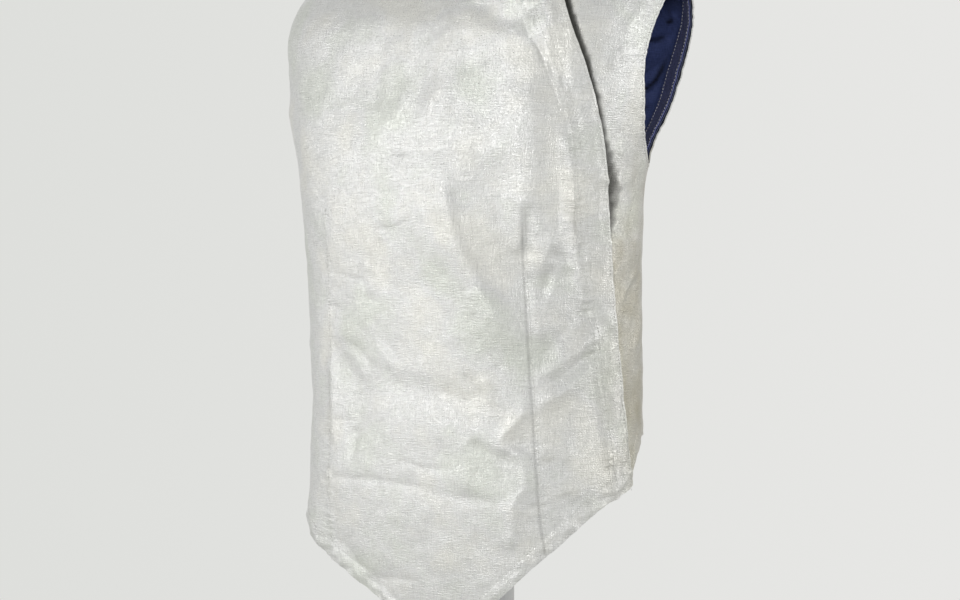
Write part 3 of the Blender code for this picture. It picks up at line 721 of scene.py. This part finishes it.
def back_surface(angle, level):
    return pushed(angle, level, lame_relief(BACK_CREASES + SIDE_CREASES, angle, level))


def armhole_distance(angle, level):
    """Distance from the nearer armhole edge, measured on the cloth."""
    beside = np.abs(signed(angle))
    across = arc_length(np.maximum(front_side(level) - beside, beside - back_side(level)).clip(0))
    along = np.maximum(UNDERARM_LEVEL - level, level - SHOULDER_LEVEL).clip(0)
    return np.hypot(across, along)


def lining_surface(angle, level):
    """The lining's outer face, close to the lame at the armholes and slack elsewhere."""
    away = armhole_distance(angle, level)
    slack = LINING_SLACK * ease((away - LINING_CLOSE_REACH) / LINING_SLACK_REACH)
    loose = ease((away - FACING_WIDTH + 0.004) / 0.014)
    figure = ring_points(angle, level)
    wrinkles = crease_relief(LINING_CREASES, angle, level) + 0.0010 * crumple(figure, 0.030, 3.0)
    return pushed(angle, level, loose * (wrinkles - 0.0012) - LAME_WALL - LAYER_GAP - slack)


def facing_surface(angle, level):
    """The tape's outer face, against the inside of the lining."""
    puckers = 0.0003 * ripple(level, 0.013, 6.0)
    push = puckers - LAME_WALL - LAYER_GAP - LINING_WALL - FACING_GAP - 0.0003
    return pushed(angle, level, push)


# ---------------------------------------------------------------- making pieces


def lay_out(guides, bays, bottom, rows, tops=(UNDERARM_LEVEL, SHOULDER_LEVEL, NECK_LEVEL)):
    """Angles and levels over a patch: rows from the hem up, columns between the guide lines."""
    counts, crowding = zip(*bays)
    stops = [i + crowded(count, crowding[i])[:-1] for i, count in enumerate(counts)]
    across = np.concatenate([*stops, [len(counts)]])[None, :]
    below, beside, above = rows
    up = np.concatenate([crowded(below, 0)[:-1], 1 + crowded(beside, 0.7)[:-1], 2 + crowded(above, 0)])
    up = up[:, None]
    upper_level = np.interp(up, [1, 2, 3], tops)
    bay = np.clip(np.floor(across).astype(int), 0, len(counts) - 1)
    share = across - bay
    angle = np.zeros((len(up), across.shape[1]))
    for _ in range(8):
        level = np.where(up < 1, bottom(angle) + (tops[0] - bottom(angle)) * up, upper_level)
        lines = np.stack([guide(level) for guide in guides])
        start = np.take_along_axis(lines, np.broadcast_to(bay, level.shape)[None], 0)[0]
        end = np.take_along_axis(lines, np.broadcast_to(bay + 1, level.shape)[None], 0)[0]
        angle = start + (end - start) * share
    return angle, level


def mesh_of(name, shape):
    """Turns a working shape into a mesh, and frees it."""
    mesh = bpy.data.meshes.new(name)
    shape.to_mesh(mesh)
    shape.free()
    return mesh


def add_object(name, data):
    """A new object for a mesh, a light or a camera, linked into the scene."""
    obj = bpy.data.objects.new(name, data)
    bpy.context.scene.collection.objects.link(obj)
    return obj


def grid_piece(name, angle, level, surface, wall, attributes=None):
    """A sheet of cloth over a grid of angles and levels, with a wall inwards, shaded smooth."""
    rows, columns = angle.shape
    shape = bmesh.new()
    bmesh.ops.create_grid(shape, x_segments=columns - 1, y_segments=rows - 1, size=0.5)
    mesh = mesh_of(name, shape)
    flat = np.zeros(len(mesh.vertices) * 3)
    mesh.vertices.foreach_get("co", flat)
    flat = flat.reshape(-1, 3)
    i = np.rint((flat[:, 1] + 0.5) * (rows - 1)).astype(int)
    j = np.rint((flat[:, 0] + 0.5) * (columns - 1)).astype(int)
    points = surface(angle, level)[i, j]
    mesh.vertices.foreach_set("co", points.ravel())
    cloth_map = np.stack([arc_length(angle), level], axis=-1)[i, j]
    corner = np.zeros(len(mesh.loops), int)
    mesh.loops.foreach_get("vertex_index", corner)
    mesh.uv_layers.new(name="cloth").data.foreach_set("uv", cloth_map[corner].ravel())
    for key, values in (attributes or {}).items():
        made = mesh.attributes.new(key, "FLOAT", "POINT")
        made.data.foreach_set("value", values[i, j].astype(np.float32))
    obj = add_object(name, mesh)
    solidify = obj.modifiers.new("wall", "SOLIDIFY")
    solidify.thickness = wall
    solidify.offset = -1
    return finished(obj)


def finished(obj, sharp=55):
    """Applies a piece's modifiers and shades it smooth."""
    made = bpy.data.meshes.new_from_object(obj.evaluated_get(bpy.context.evaluated_depsgraph_get()))
    made.name = obj.name
    obj.modifiers.clear()
    obj.data = made
    made.shade_smooth()
    made.set_sharp_from_angle(angle=math.radians(sharp))
    return obj


def dress(obj, material, nodes=()):
    """Gives a piece its material and its slot, and lets it stand for its solids."""
    obj.data.materials.clear()
    obj.data.materials.append(material)
    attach(obj, "root")
    if nodes:
        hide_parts(*nodes)
    return obj


def set_inputs(tree, node, inputs):
    """Sets or links a shader node's inputs."""
    for key, value in inputs.items():
        if isinstance(value, bpy.types.NodeSocket):
            tree.links.new(value, node.inputs[key])
        else:
            node.inputs[key].default_value = value


def add_node(tree, kind, inputs=None, **settings):
    """Adds one shader node, makes its settings, and sets or links its inputs."""
    made = tree.nodes.new("ShaderNode" + kind)
    for key, value in settings.items():
        setattr(made, key, value)
    set_inputs(tree, made, inputs or {})
    return made


def colour(code):
    """An sRGB hex colour as linear RGBA."""
    parts = [int(code[i : i + 2], 16) / 255 for i in (1, 3, 5)]
    return (*[c / 12.92 if c <= 0.04045 else ((c + 0.055) / 1.055) ** 2.4 for c in parts], 1.0)


def add_noise(tree, place, scale, detail):
    """Noise from 0 to 1. Its scale is one number, or one for each direction."""
    if isinstance(scale, tuple):
        place = add_node(tree, "Mapping", {"Vector": place, "Scale": scale}).outputs[0]
        scale = 1.0
    return add_node(tree, "TexNoise", {"Vector": place, "Scale": scale, "Detail": detail}).outputs["Fac"]


def add_math(tree, operation, first, second):
    return add_node(tree, "Math", {0: first, 1: second}, operation=operation).outputs[0]


def add_range(tree, value, before=(0, 1), after=(0, 1)):
    """A value moved from one range to another."""
    ends = {"From Min": before[0], "From Max": before[1], "To Min": after[0], "To Max": after[1]}
    return add_node(tree, "MapRange", {"Value": value, **ends}).outputs[0]


def add_mix(tree, share, first, second, blend_type="MIX"):
    """One colour changed into another by a share. A colour is a hex code or a socket."""
    first, second = (colour(c) if isinstance(c, str) else c for c in (first, second))
    inputs = {"Fac": share, "Color1": first, "Color2": second}
    return add_node(tree, "MixRGB", inputs, blend_type=blend_type).outputs["Color"]


def add_bump(tree, height, strength, distance, invert=False):
    inputs = {"Height": height, "Strength": strength, "Distance": distance}
    return add_node(tree, "Bump", inputs, invert=invert).outputs["Normal"]


# ---------------------------------------------------------------- materials


def start_material(name):
    """An empty node tree with its principled shader and output."""
    made = bpy.data.materials.new(name)
    made.use_nodes = True
    tree = made.node_tree
    tree.nodes.clear()
    shader = add_node(tree, "BsdfPrincipled")
    add_node(tree, "OutputMaterial", {"Surface": shader.outputs["BSDF"]})
    return made, tree, shader


def woven_silver_lame():
    """Lame woven of polyester and fine steel threads: satin metal, slubs both ways, small sparks."""
    made, tree, shader = start_material("woven_silver_lame")
    cloth = add_node(tree, "UVMap", uv_map="cloth").outputs["UV"]
    # Slubs are drawn 1 mm wide and 11 mm long, coarser than real threads, so that they show.
    warp = add_noise(tree, cloth, (1000, 95, 1), 2.0)
    weft = add_noise(tree, cloth, (90, 1050, 1), 2.0)
    grain = add_range(tree, add_math(tree, "ADD", warp, weft), (0.76, 1.24))
    # A few thicker threads run dark for 30 mm or so, across and up.
    long_weft = add_noise(tree, cloth, (34, 850, 1), 1.0)
    long_warp = add_noise(tree, cloth, (850, 40, 1), 1.0)
    slubs = add_range(tree, add_math(tree, "MAXIMUM", long_weft, long_warp), (0.60, 0.74))
    slub_shade = add_range(tree, slubs, after=(1.0, 0.86))
    # Sparks: single bright steel floats about 1 mm across.
    spark_noise = add_noise(tree, cloth, 700.0, 1.0)
    sparks = add_range(tree, spark_noise, (0.60, 0.72))
    # Handling leaves broad patches, some a little green, some warm, 40 to 70 mm across.
    object_place = add_node(tree, "TexCoord").outputs["Object"]
    patches = add_node(tree, "ValToRGB", {"Fac": add_noise(tree, object_place, 16.0, 3.0)})
    ramp = patches.color_ramp
    ramp.elements[0].position = 0.34
    ramp.elements[0].color = colour("#dfe1db")
    ramp.elements[1].position = 0.66
    ramp.elements[1].color = colour("#e9e8e3")
    middle = ramp.elements.new(0.5)
    middle.color = colour("#e4e4e3")
    shade = add_math(tree, "MULTIPLY", add_range(tree, grain, after=(0.88, 1.04)), slub_shade)
    shaded = add_mix(tree, 1.0, patches.outputs["Color"], shade, "MULTIPLY")
    # A beige-grey mixed in on the sides: partly a sweat stain, partly painted shade where the sides turn from
    # the light.
    tarnish_and_shade_share = add_node(tree, "Attribute", attribute_name="tarnish_and_shade").outputs["Fac"]
    stained_and_shaded = add_mix(tree, tarnish_and_shade_share, shaded, "#a69f89")
    # Painted shade mixed into the base colour as a dark grey: a thin line in the darts' seams and the shadow
    # in the gap beside the flap's edge.
    seam = add_node(tree, "Attribute", attribute_name="seam_shade").outputs["Fac"]
    gloss = add_range(tree, grain, after=(0.40, 0.32))
    glint = add_math(tree, "MULTIPLY", sparks, -0.12)
    floats = add_math(tree, "MULTIPLY", spark_noise, 2.0)
    looks = {
        "Base Color": add_mix(tree, seam, stained_and_shaded, "#3c3b37"),
        "Roughness": add_math(tree, "ADD", gloss, glint),
        "Normal": add_bump(tree, add_math(tree, "ADD", grain, floats), 1.0, 0.00028),
        "Metallic": 0.75,
    }
    set_inputs(tree, shader, looks)
    return made


def woven_cloth(name, code, dark_code, threads, depth, finish):
    """Plain woven cloth: a fine grid of threads that carries small changes of colour, with painted shade in
    its folds.
    """
    made, tree, shader = start_material(name)
    cloth = add_node(tree, "UVMap", uv_map="cloth").outputs["UV"]
    across, along = threads
    warp = add_noise(tree, cloth, (across, along / 8, 1), 1.0)
    weft = add_noise(tree, cloth, (across / 8, along, 1), 1.0)
    shade = add_range(tree, add_math(tree, "ADD", warp, weft), (0.75, 1.25))
    # Painted shade, mixed in as near-black, in pressed folds and along the lining's edge.
    folds = add_node(tree, "Attribute", attribute_name="fold_shade").outputs["Fac"]
    folded = add_mix(tree, folds, add_mix(tree, shade, dark_code, code), "#0e1220")
    set_inputs(tree, shader, {"Base Color": folded, "Normal": add_bump(tree, shade, 0.5, depth), **finish})
    return made


def navy_taffeta():
    """Taffeta lining: close plain weave with a low silky gloss; thread rows drawn 0.8 mm apart."""
    finish = {"Roughness": 0.50, "Sheen Weight": 0.15, "Sheen Roughness": 0.4}
    return woven_cloth("navy_taffeta", "#6676b4", "#4c5b96", (1250, 1250), 0.00008, finish)


def navy_twill_tape():
    """Cotton binding tape: matt, coarser ribs, faded a little towards purple."""
    finish = {"Roughness": 0.75, "Sheen Weight": 0.2}
    return woven_cloth("navy_twill_tape", "#6a70a8", "#4c5386", (900, 1000), 0.00014, finish)


def hook_and_loop_pile():
    """Nylon loop pile: matt pale grey loops about 1 mm apart on a woven ground."""
    made, tree, shader = start_material("hook_and_loop_pile")
    cloth = add_node(tree, "UVMap", uv_map="cloth").outputs["UV"]
    loops = add_node(tree, "TexVoronoi", {"Vector": cloth, "Scale": 1000.0}).outputs["Distance"]
    tint = add_mix(tree, loops, "#d2d2ce", "#8e8e8a")
    relief = add_bump(tree, loops, 0.8, 0.0006, invert=True)
    set_inputs(tree, shader, {"Base Color": tint, "Normal": relief, "Roughness": 0.9})
    return made


def jersey_cover():
    """Knitted jersey over a moulded form: matt grey, 1.4 mm ribs, a dark seam down the centre lines."""
    made, tree, shader = start_material("jersey_cover")
    place = add_node(tree, "TexCoord").outputs["Object"]
    knit = add_noise(tree, place, (700, 700, 260), 1.0)
    aside = add_node(tree, "SeparateXYZ", {"Vector": place}).outputs["X"]
    from_seam = add_node(tree, "Math", {0: aside}, operation="ABSOLUTE").outputs[0]
    seam = add_range(tree, from_seam, (0.0004, 0.0012), (1.0, 0.0))
    seamed = add_mix(tree, seam, add_mix(tree, knit, "#7f7f7e", "#a3a3a1"), "#4c4c4b")
    relief = add_bump(tree, knit, 0.5, 0.0003)
    looks = {"Base Color": seamed, "Normal": relief, "Roughness": 0.9, "Sheen Weight": 0.25}
    set_inputs(tree, shader, looks)
    return made


def grey_powder_coat():
    """Powder coat on steel: satin grey, a fine orange-peel skin about 1.5 mm across, some scuffs."""
    made, tree, shader = start_material("grey_powder_coat")
    place = add_node(tree, "TexCoord").outputs["Object"]
    peel = add_noise(tree, place, 650.0, 1.0)
    wear = add_noise(tree, place, 22.0, 5.0)
    tint = add_mix(tree, wear, "#b6b6b4", "#c4c4c2")
    rough = add_range(tree, wear, after=(0.36, 0.55))
    relief = add_bump(tree, peel, 0.25, 0.0002)
    set_inputs(tree, shader, {"Base Color": tint, "Roughness": rough, "Normal": relief})
    return made


def spun_thread(name, code, dark_code):
    """Spun polyester sewing thread: matt, with a twist every 1.2 mm."""
    made, tree, shader = start_material(name)
    place = add_node(tree, "TexCoord").outputs["Object"]
    tint = add_mix(tree, add_noise(tree, place, 800.0, 0.0), dark_code, code)
    set_inputs(tree, shader, {"Base Color": tint, "Roughness": 0.6, "Sheen Weight": 0.2})
    return made


LAME = woven_silver_lame()
TAFFETA = navy_taffeta()
TAPE = navy_twill_tape()
PILE = hook_and_loop_pile()
JERSEY = jersey_cover()
POWDER_COAT = grey_powder_coat()
SILVER_THREAD = spun_thread("silver_grey_thread", "#e4e4e0", "#bdbdb8")
WHITE_THREAD = spun_thread("white_thread", "#fbfbfd", "#e2e2ea")


# ---------------------------------------------------------------- lame pieces


def seam_shade(angle, level):
    """Painted shade where the darts' seams show as a thin dark line in their grooves, faintly on the wearer's
    right.
    """
    fade = ease((DART_TOP - 0.006 - level) / 0.030)
    shade = np.zeros(angle.shape)
    for seam, depth in ((left_dart, 0.28), (right_dart, 0.05)):
        aside = arc_length(signed(angle - seam(level)))
        shade = np.maximum(shade, depth * fade * np.exp(-((aside / 0.0005) ** 2)))
    return shade


def tarnish_and_shade(angle, level):
    """Sweat stains on the metal, mixed with painted shade on the sides that turn away from the light: under
    the arms, down the sides, and faintly elsewhere.
    """
    figure = ring_points(angle, level)
    beside = np.abs(signed(angle))
    side = np.exp(-(((beside - 100) / 22) ** 2)) * ease((0.86 - level) / 0.08)
    uneven = 0.55 + 0.45 * crumple(figure, 0.030, 7.0)
    return np.clip(side * uneven, 0, 1) * 0.8 + 0.05


def underlap_tarnish_and_shade(angle, level):
    # The underlap's yellow below the flap: partly a sweat stain, partly painted shade of this side turning
    # from the light.
    figure = ring_points(angle, level)
    low = 0.20 * np.exp(-(((level - 0.55) / 0.04) ** 2))
    return 0.57 + low + 0.20 * crumple(figure, 0.035, 8.0) + 0.12 * crumple(figure, 0.012, 9.0)


def lame_attributes(angle, level):
    return {"tarnish_and_shade": tarnish_and_shade(angle, level), "seam_shade": seam_shade(angle, level)}


def make_front():
    guides = (right_front_side, right_dart, left_of_band, flap_stitch, flap_edge)
    bays = ((24, 0.2), (92, 0.1), (27, 0.2), (13, 0.2))
    angle, level = lay_out(guides, bays, hem_height, (216, 80, 16))
    attributes = lame_attributes(angle, level)
    return grid_piece("lame_front", angle, level, front_surface, LAME_WALL, attributes)


def make_underlap():
    guides = (flap_inner_end, flap_edge, front_side)
    angle, level = lay_out(guides, ((14, 0.2), (44, 0.3)), hem_height, (150, 80, 20))
    attributes = lame_attributes(angle, level)
    # The underlap below the flap is made more yellow: partly a stain, partly painted shade.
    low = ease((0.735 - level) / 0.03) * ease((angle - flap_edge(level)) / 2)
    yellowed_and_shaded = low * underlap_tarnish_and_shade(angle, level)
    attributes["tarnish_and_shade"] = np.clip(np.maximum(attributes["tarnish_and_shade"], yellowed_and_shaded), 0, 1)
    # Painted shade: the shadow in the gap beside the flap's edge.
    attributes["seam_shade"] = gap_share(angle, level)
    return grid_piece("lame_underlap", angle, level, underlap_surface, LAME_WALL, attributes)


def make_back():
    angle, level = lay_out((back_side, right_back_side), ((112, 0.3),), hem_height, (96, 74, 26))
    attributes = lame_attributes(angle, level)
    return grid_piece("lame_back", angle, level, back_surface, LAME_WALL, attributes)


def lining_attributes(angle, level):
    # Painted shade: dark lines along the lining's pressed folds, and a dark band along its edge at the
    # armholes.
    folds = crease_relief(LINING_FOLDS, angle, level) / (100 * MM)
    painted_edge_shade = 0.75 * np.exp(-((armhole_distance(angle, level) / 0.002) ** 2))
    return {"fold_shade": np.clip(np.maximum(folds, painted_edge_shade), 0, 1)}


def make_linings():
    made = {}
    rows = (70, 84, 14)
    patches = {
        "front": ((right_front_side, flap_inner_end), ((76, 0.4),)),
        "underlap": ((flap_inner_end, front_side), ((24, 0.2),)),
        "back": ((back_side, right_back_side), ((190, 0.6),)),
    }
    for part, (guides, bays) in patches.items():
        angle, level = lay_out(guides, bays, lining_hem, rows)
        attributes = lining_attributes(angle, level)
        made[part] = grid_piece("lining_" + part, angle, level, lining_surface, LINING_WALL, attributes)
    return made


def edge_band(edge, cloth_side, offsets, count=90):
    """Angles and levels of lines beside an armhole's edge, at given distances into the cloth."""
    shares = crowded(count, 1.0)[:, None]
    level = UNDERARM_LEVEL + (SHOULDER_LEVEL - UNDERARM_LEVEL) * shares
    angle = edge(level)
    per_metre = degrees_of(1.0, angle, level)
    run = np.gradient(angle, axis=0) / per_metre
    rise = np.gradient(level, axis=0)
    length = np.hypot(run, rise)
    offsets = np.asarray(offsets, float)[None, :]
    return (
        angle + cloth_side * rise / length * offsets * per_metre,
        level - cloth_side * run / length * offsets,
    )


ARMHOLE_EDGES = {
    "left_front": (front_side, -1),
    "left_back": (back_side, 1),
    "right_front": (right_front_side, 1),
    "right_back": (right_back_side, -1),
}


def make_facing(name):
    edge, cloth_side = ARMHOLE_EDGES[name]
    angle, level = edge_band(edge, cloth_side, np.linspace(0.0004, FACING_WIDTH, 13))
    if cloth_side < 0:
        angle, level = angle[:, ::-1], level[:, ::-1]
    return grid_piece("facing_tape_" + name, angle, level, facing_surface, TAPE_WALL)


# ---------------------------------------------------------------- collar, closure and form


def collar_surface(share_round, rise):
    """The stand collar on the neck seam: it leans in a little and waves along its top."""
    opening = float(flap_edge(NECK_LEVEL))
    angle = opening - 360 + COLLAR_END_GAP + (360 - 2 * COLLAR_END_GAP) * share_round
    level = np.full(angle.shape, NECK_LEVEL)
    seam = pushed(angle, level, flap_lift(angle, level))
    turn = np.radians(angle)
    inwards = np.stack([-np.sin(turn), np.cos(turn), np.zeros(turn.shape)], axis=-1)
    along = share_round * 2 * math.pi * COLLAR_RADIUS
    near_stitches = np.exp(-(((rise - 0.12) / 0.10) ** 2)) + np.exp(-(((rise - 0.88) / 0.10) ** 2))
    depth = COLLAR_LEAN * rise + 0.0004 * ripple(along, 0.011, 8.0) * near_stitches
    depth = depth + 0.0008 * ripple(along, 0.060, 9.0) * rise
    height = 0.0006 + (COLLAR_HEIGHT - 0.0004) * rise
    return seam + np.array([0.0, 0.0, 1.0]) * height[..., None] + inwards * depth[..., None]


def make_collar():
    rise, share_round = np.meshgrid(crowded(26, 0.6), np.linspace(0, 1, 241), indexing="ij")
    attributes = {"tarnish_and_shade": 0.05 + 0.1 * rise, "seam_shade": np.zeros(rise.shape)}
    return grid_piece("lame_collar", share_round, rise, collar_surface, COLLAR_WALL, attributes)


def closure_surface(angle, level):
    return pushed(angle, level, hidden_push(angle, level) + CLOSURE["lift"])


def make_closure():
    """The loop half of the closure, between the flap and the underlap, near the flap's edge."""
    level = np.linspace(CLOSURE["bottom"], CLOSURE["top"], 101)[:, None]
    across = np.linspace(-CLOSURE["width"], 0, 13)[None, :]
    angle = flap_edge(level) - CLOSURE["inset"] + across
    level = np.broadcast_to(level, angle.shape)
    return grid_piece("closure_loop_strip", angle, level, closure_surface, CLOSURE["wall"])


def make_form():
    """The dress form's padded body: its solid's surface, merged and smoothed."""
    shape = bmesh.new()
    shape.from_mesh(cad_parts["form_torso"].data)
    bmesh.ops.remove_doubles(shape, verts=shape.verts, dist=0.00002)
    bmesh.ops.join_triangles(
        shape,
        faces=shape.faces,
        angle_face_threshold=math.radians(30),
        angle_shape_threshold=math.radians(50),
    )
    bmesh.ops.recalc_face_normals(shape, faces=shape.faces)
    form = add_object("form_body", mesh_of("form_body", shape))
    smoothing = form.modifiers.new("smoothing", "SUBSURF")
    smoothing.levels = smoothing.render_levels = 2
    return finished(form)


# ---------------------------------------------------------------- stitching


def stitch_places(points, normals, pitch):
    """Middles, directions and normals of stitches laid end to end along a line of points."""
    lengths = np.linalg.norm(np.diff(points, axis=0), axis=-1)
    travelled = np.concatenate([[0], np.cumsum(lengths)])
    count = int(travelled[-1] / pitch)
    at = (np.arange(count) + 0.5) * travelled[-1] / count

    def along(values, places):
        return np.stack([np.interp(places, travelled, values[:, k]) for k in range(3)], axis=-1)

    ahead = along(points, at + STITCH_LENGTH / 2) - along(points, at - STITCH_LENGTH / 2)
    ahead /= np.linalg.norm(ahead, axis=-1, keepdims=True)
    up = along(normals, at)
    up -= ahead * np.sum(up * ahead, axis=-1, keepdims=True)
    up /= np.linalg.norm(up, axis=-1, keepdims=True)
    return along(points, at), ahead, up


def sew(name, rows, material, radius=THREAD_RADIUS):
    """One joined piece of stitches, of rows (surface, angle, level, side), side -1 on a cloth's inside."""
    shape = bmesh.new()
    for surface, angle, level, side in rows:
        points = surface(angle, level)
        normals = side * outward(angle, level)
        for middle, ahead, up in zip(*stitch_places(points, normals, STITCH_PITCH)):
            aside = np.cross(up, ahead)
            turn = Matrix((aside, ahead, up)).transposed().to_4x4()
            size = Matrix.Diagonal((radius, STITCH_LENGTH / 2, radius, 1.0))
            place = Matrix.Translation(Vector(middle + up * radius * 0.5))
            bmesh.ops.create_icosphere(shape, subdivisions=1, radius=1.0, matrix=place @ turn @ size)
    mesh = mesh_of(name, shape)
    mesh.shade_smooth()
    return dress(add_object(name, mesh), material)


def level_line(bottom, top, angle_at, inset, count=500):
    """A line up the cloth, held at a distance inside a guide line."""
    level = np.linspace(bottom, top, count)
    guide = angle_at(level)
    return guide - degrees_of(inset, guide, level), level


def hem_line(start, end, rise, count=900):
    angle = np.linspace(start, end, count)
    return angle, hem_height(angle) + rise


def armhole_row(name, offset):
    edge, cloth_side = ARMHOLE_EDGES[name]
    angle, level = edge_band(edge, cloth_side, [offset], 200)
    return angle[:, 0], level[:, 0]


def facing_inside(angle, level):
    return facing_surface(angle, level) - outward(angle, level) * TAPE_WALL


def front_rows():
    bottom = hem_height(79.0) + 0.006
    rows = [
        (front_surface, *level_line(bottom, NECK_LEVEL - 0.004, flap_edge, inset, 600), 1)
        for inset in FLAP_STITCHES
    ]
    rows.append((front_surface, *hem_line(-99, 84, HEM_BAND), 1))
    for seam in (left_dart, right_dart):
        low = float(hem_height(seam(0.40)))
        rows.append((front_surface, *level_line(low + 0.004, DART_TOP, seam, -EDGE_STITCH), 1))
    rows.append((underlap_surface, *armhole_row("left_front", EDGE_STITCH), 1))
    rows.append((front_surface, *armhole_row("right_front", EDGE_STITCH), 1))
    return rows


def back_rows():
    rows = [(back_surface, *hem_line(101, 259, HEM_BAND), 1)]
    for name in ("left_back", "right_back"):
        rows.append((back_surface, *armhole_row(name, EDGE_STITCH), 1))
    return rows


def facing_rows(names):
    return [
        (facing_inside, *armhole_row(name, offset), -1)
        for name in names
        for offset in FACING_STITCHES
    ]


# ---------------------------------------------------------------- the whole garment

front = dress(make_front(), LAME, ["front_panel"])
underlap = dress(make_underlap(), LAME, ["left_underlap"])
back = dress(make_back(), LAME, ["back_panel"])
linings = make_linings()
dress(linings["front"], TAFFETA, ["front_lining"])
dress(linings["underlap"], TAFFETA, ["underlap_lining"])
dress(linings["back"], TAFFETA, ["back_lining"])
facings = {name: dress(make_facing(name), TAPE, ["facing_" + name]) for name in ARMHOLE_EDGES}
collar = dress(make_collar(), LAME, ["collar"])
closure = dress(make_closure(), PILE, ["closure_strip"])
form = dress(make_form(), JERSEY, ["form_torso"])

front_stitches = sew("stitches_front", front_rows(), SILVER_THREAD)
back_stitches = sew("stitches_back", back_rows(), SILVER_THREAD)
facing_stitches = {
    name: sew("stitches_facing_" + name, facing_rows([name]), WHITE_THREAD, FACING_THREAD_RADIUS)
    for name in ARMHOLE_EDGES
}

for node in ("post", "base_collet", "base", "form_neck_cap"):
    for material_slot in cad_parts[node].material_slots:
        material_slot.material = POWDER_COAT

# ---------------------------------------------------------------- floor, light and camera


def pale_floor():
    """Painted plywood: matt pale grey with faint roller marks, about 60 mm across."""
    made, tree, shader = start_material("matt_floor_paint")
    place = add_node(tree, "TexCoord").outputs["Object"]
    tint = add_mix(tree, add_noise(tree, place, 16.0, 3.0), "#dcdcd9", "#e2e2e0")
    set_inputs(tree, shader, {"Base Color": tint, "Roughness": 0.7})
    return made


def make_floor():
    shape = bmesh.new()
    bmesh.ops.create_circle(shape, cap_ends=True, segments=96, radius=2.4)
    bmesh.ops.translate(shape, verts=shape.verts, vec=(0, 0, -0.0005))
    floor = add_object("studio_floor", mesh_of("studio_floor", shape))
    floor.data.materials.append(pale_floor())


def light_studio():
    """A plain pale backdrop, a little brighter on its right, and an even light from all round."""
    world = bpy.data.worlds.new("studio")
    bpy.context.scene.world = world
    world.use_nodes = True
    tree = world.node_tree
    tree.nodes.clear()
    direction = add_node(tree, "TexCoord").outputs["Generated"]
    across = add_node(
        tree, "VectorMath", {0: direction, 1: (0.866, 0.5, 0.0)}, operation="DOT_PRODUCT"
    ).outputs["Value"]
    backdrop = add_mix(tree, add_range(tree, across, (-0.2, 0.2)), "#dedfdc", "#e7e7e5")
    shown = add_node(tree, "Background", {"Color": backdrop, "Strength": 1.0}).outputs[0]
    fill = add_node(tree, "Background", {"Color": colour("#ecedec"), "Strength": 0.79}).outputs[0]
    is_camera = add_node(tree, "LightPath").outputs["Is Camera Ray"]
    mixed = add_node(tree, "MixShader", {0: is_camera, 1: fill, 2: shown}).outputs[0]
    add_node(tree, "OutputWorld", {"Surface": mixed})


def add_softbox(name, azimuth, elevation, distance, size, watts):
    """A square area light aimed at the garment. Its azimuth runs from the front to the wearer's left."""
    light = bpy.data.lights.new(name, "AREA")
    light.energy = watts
    light.shape = "RECTANGLE"
    light.size, light.size_y = size
    turn, rise = math.radians(azimuth), math.radians(elevation)
    away = Vector((math.sin(turn) * math.cos(rise), -math.cos(turn) * math.cos(rise), math.sin(rise)))
    lamp = add_object(name, light)
    lamp.location = Vector((0, AXIS_Y, 0.70)) + away * distance
    lamp.rotation_euler = away.to_track_quat("Z", "Y").to_euler()
    lamp.visible_camera = False


def add_camera():
    """Level, 30 degrees round towards the wearer's left, aimed at the middle of the body."""
    target = Vector((0, AXIS_Y, 0.652))
    turn = math.radians(30)
    back_to_camera = Vector((math.sin(turn), -math.cos(turn), 0))
    distance = 2.5
    frame_width = 1.008
    lens = bpy.data.cameras.new("view")
    lens.sensor_width = 36
    lens.lens = 36 * distance / frame_width
    lens.shift_x = 0.002625 / frame_width
    camera = add_object("view", lens)
    camera.location = target + back_to_camera * distance
    camera.rotation_euler = back_to_camera.to_track_quat("Z", "Y").to_euler()
    bpy.context.scene.camera = camera


make_floor()
light_studio()
add_softbox("key_softbox", -11, 13, 2.8, (1.2, 1.2), 19.5)
add_softbox("left_softbox", -62, 0, 2.8, (1.2, 1.2), 9)
add_softbox("front_softbox", 46, -8, 2.8, (1.2, 1.2), 5.5)
add_softbox("side_softbox", 116, 8, 2.8, (1.2, 1.2), 13.5)
add_camera()
bpy.context.scene.view_settings.view_transform = "Standard"
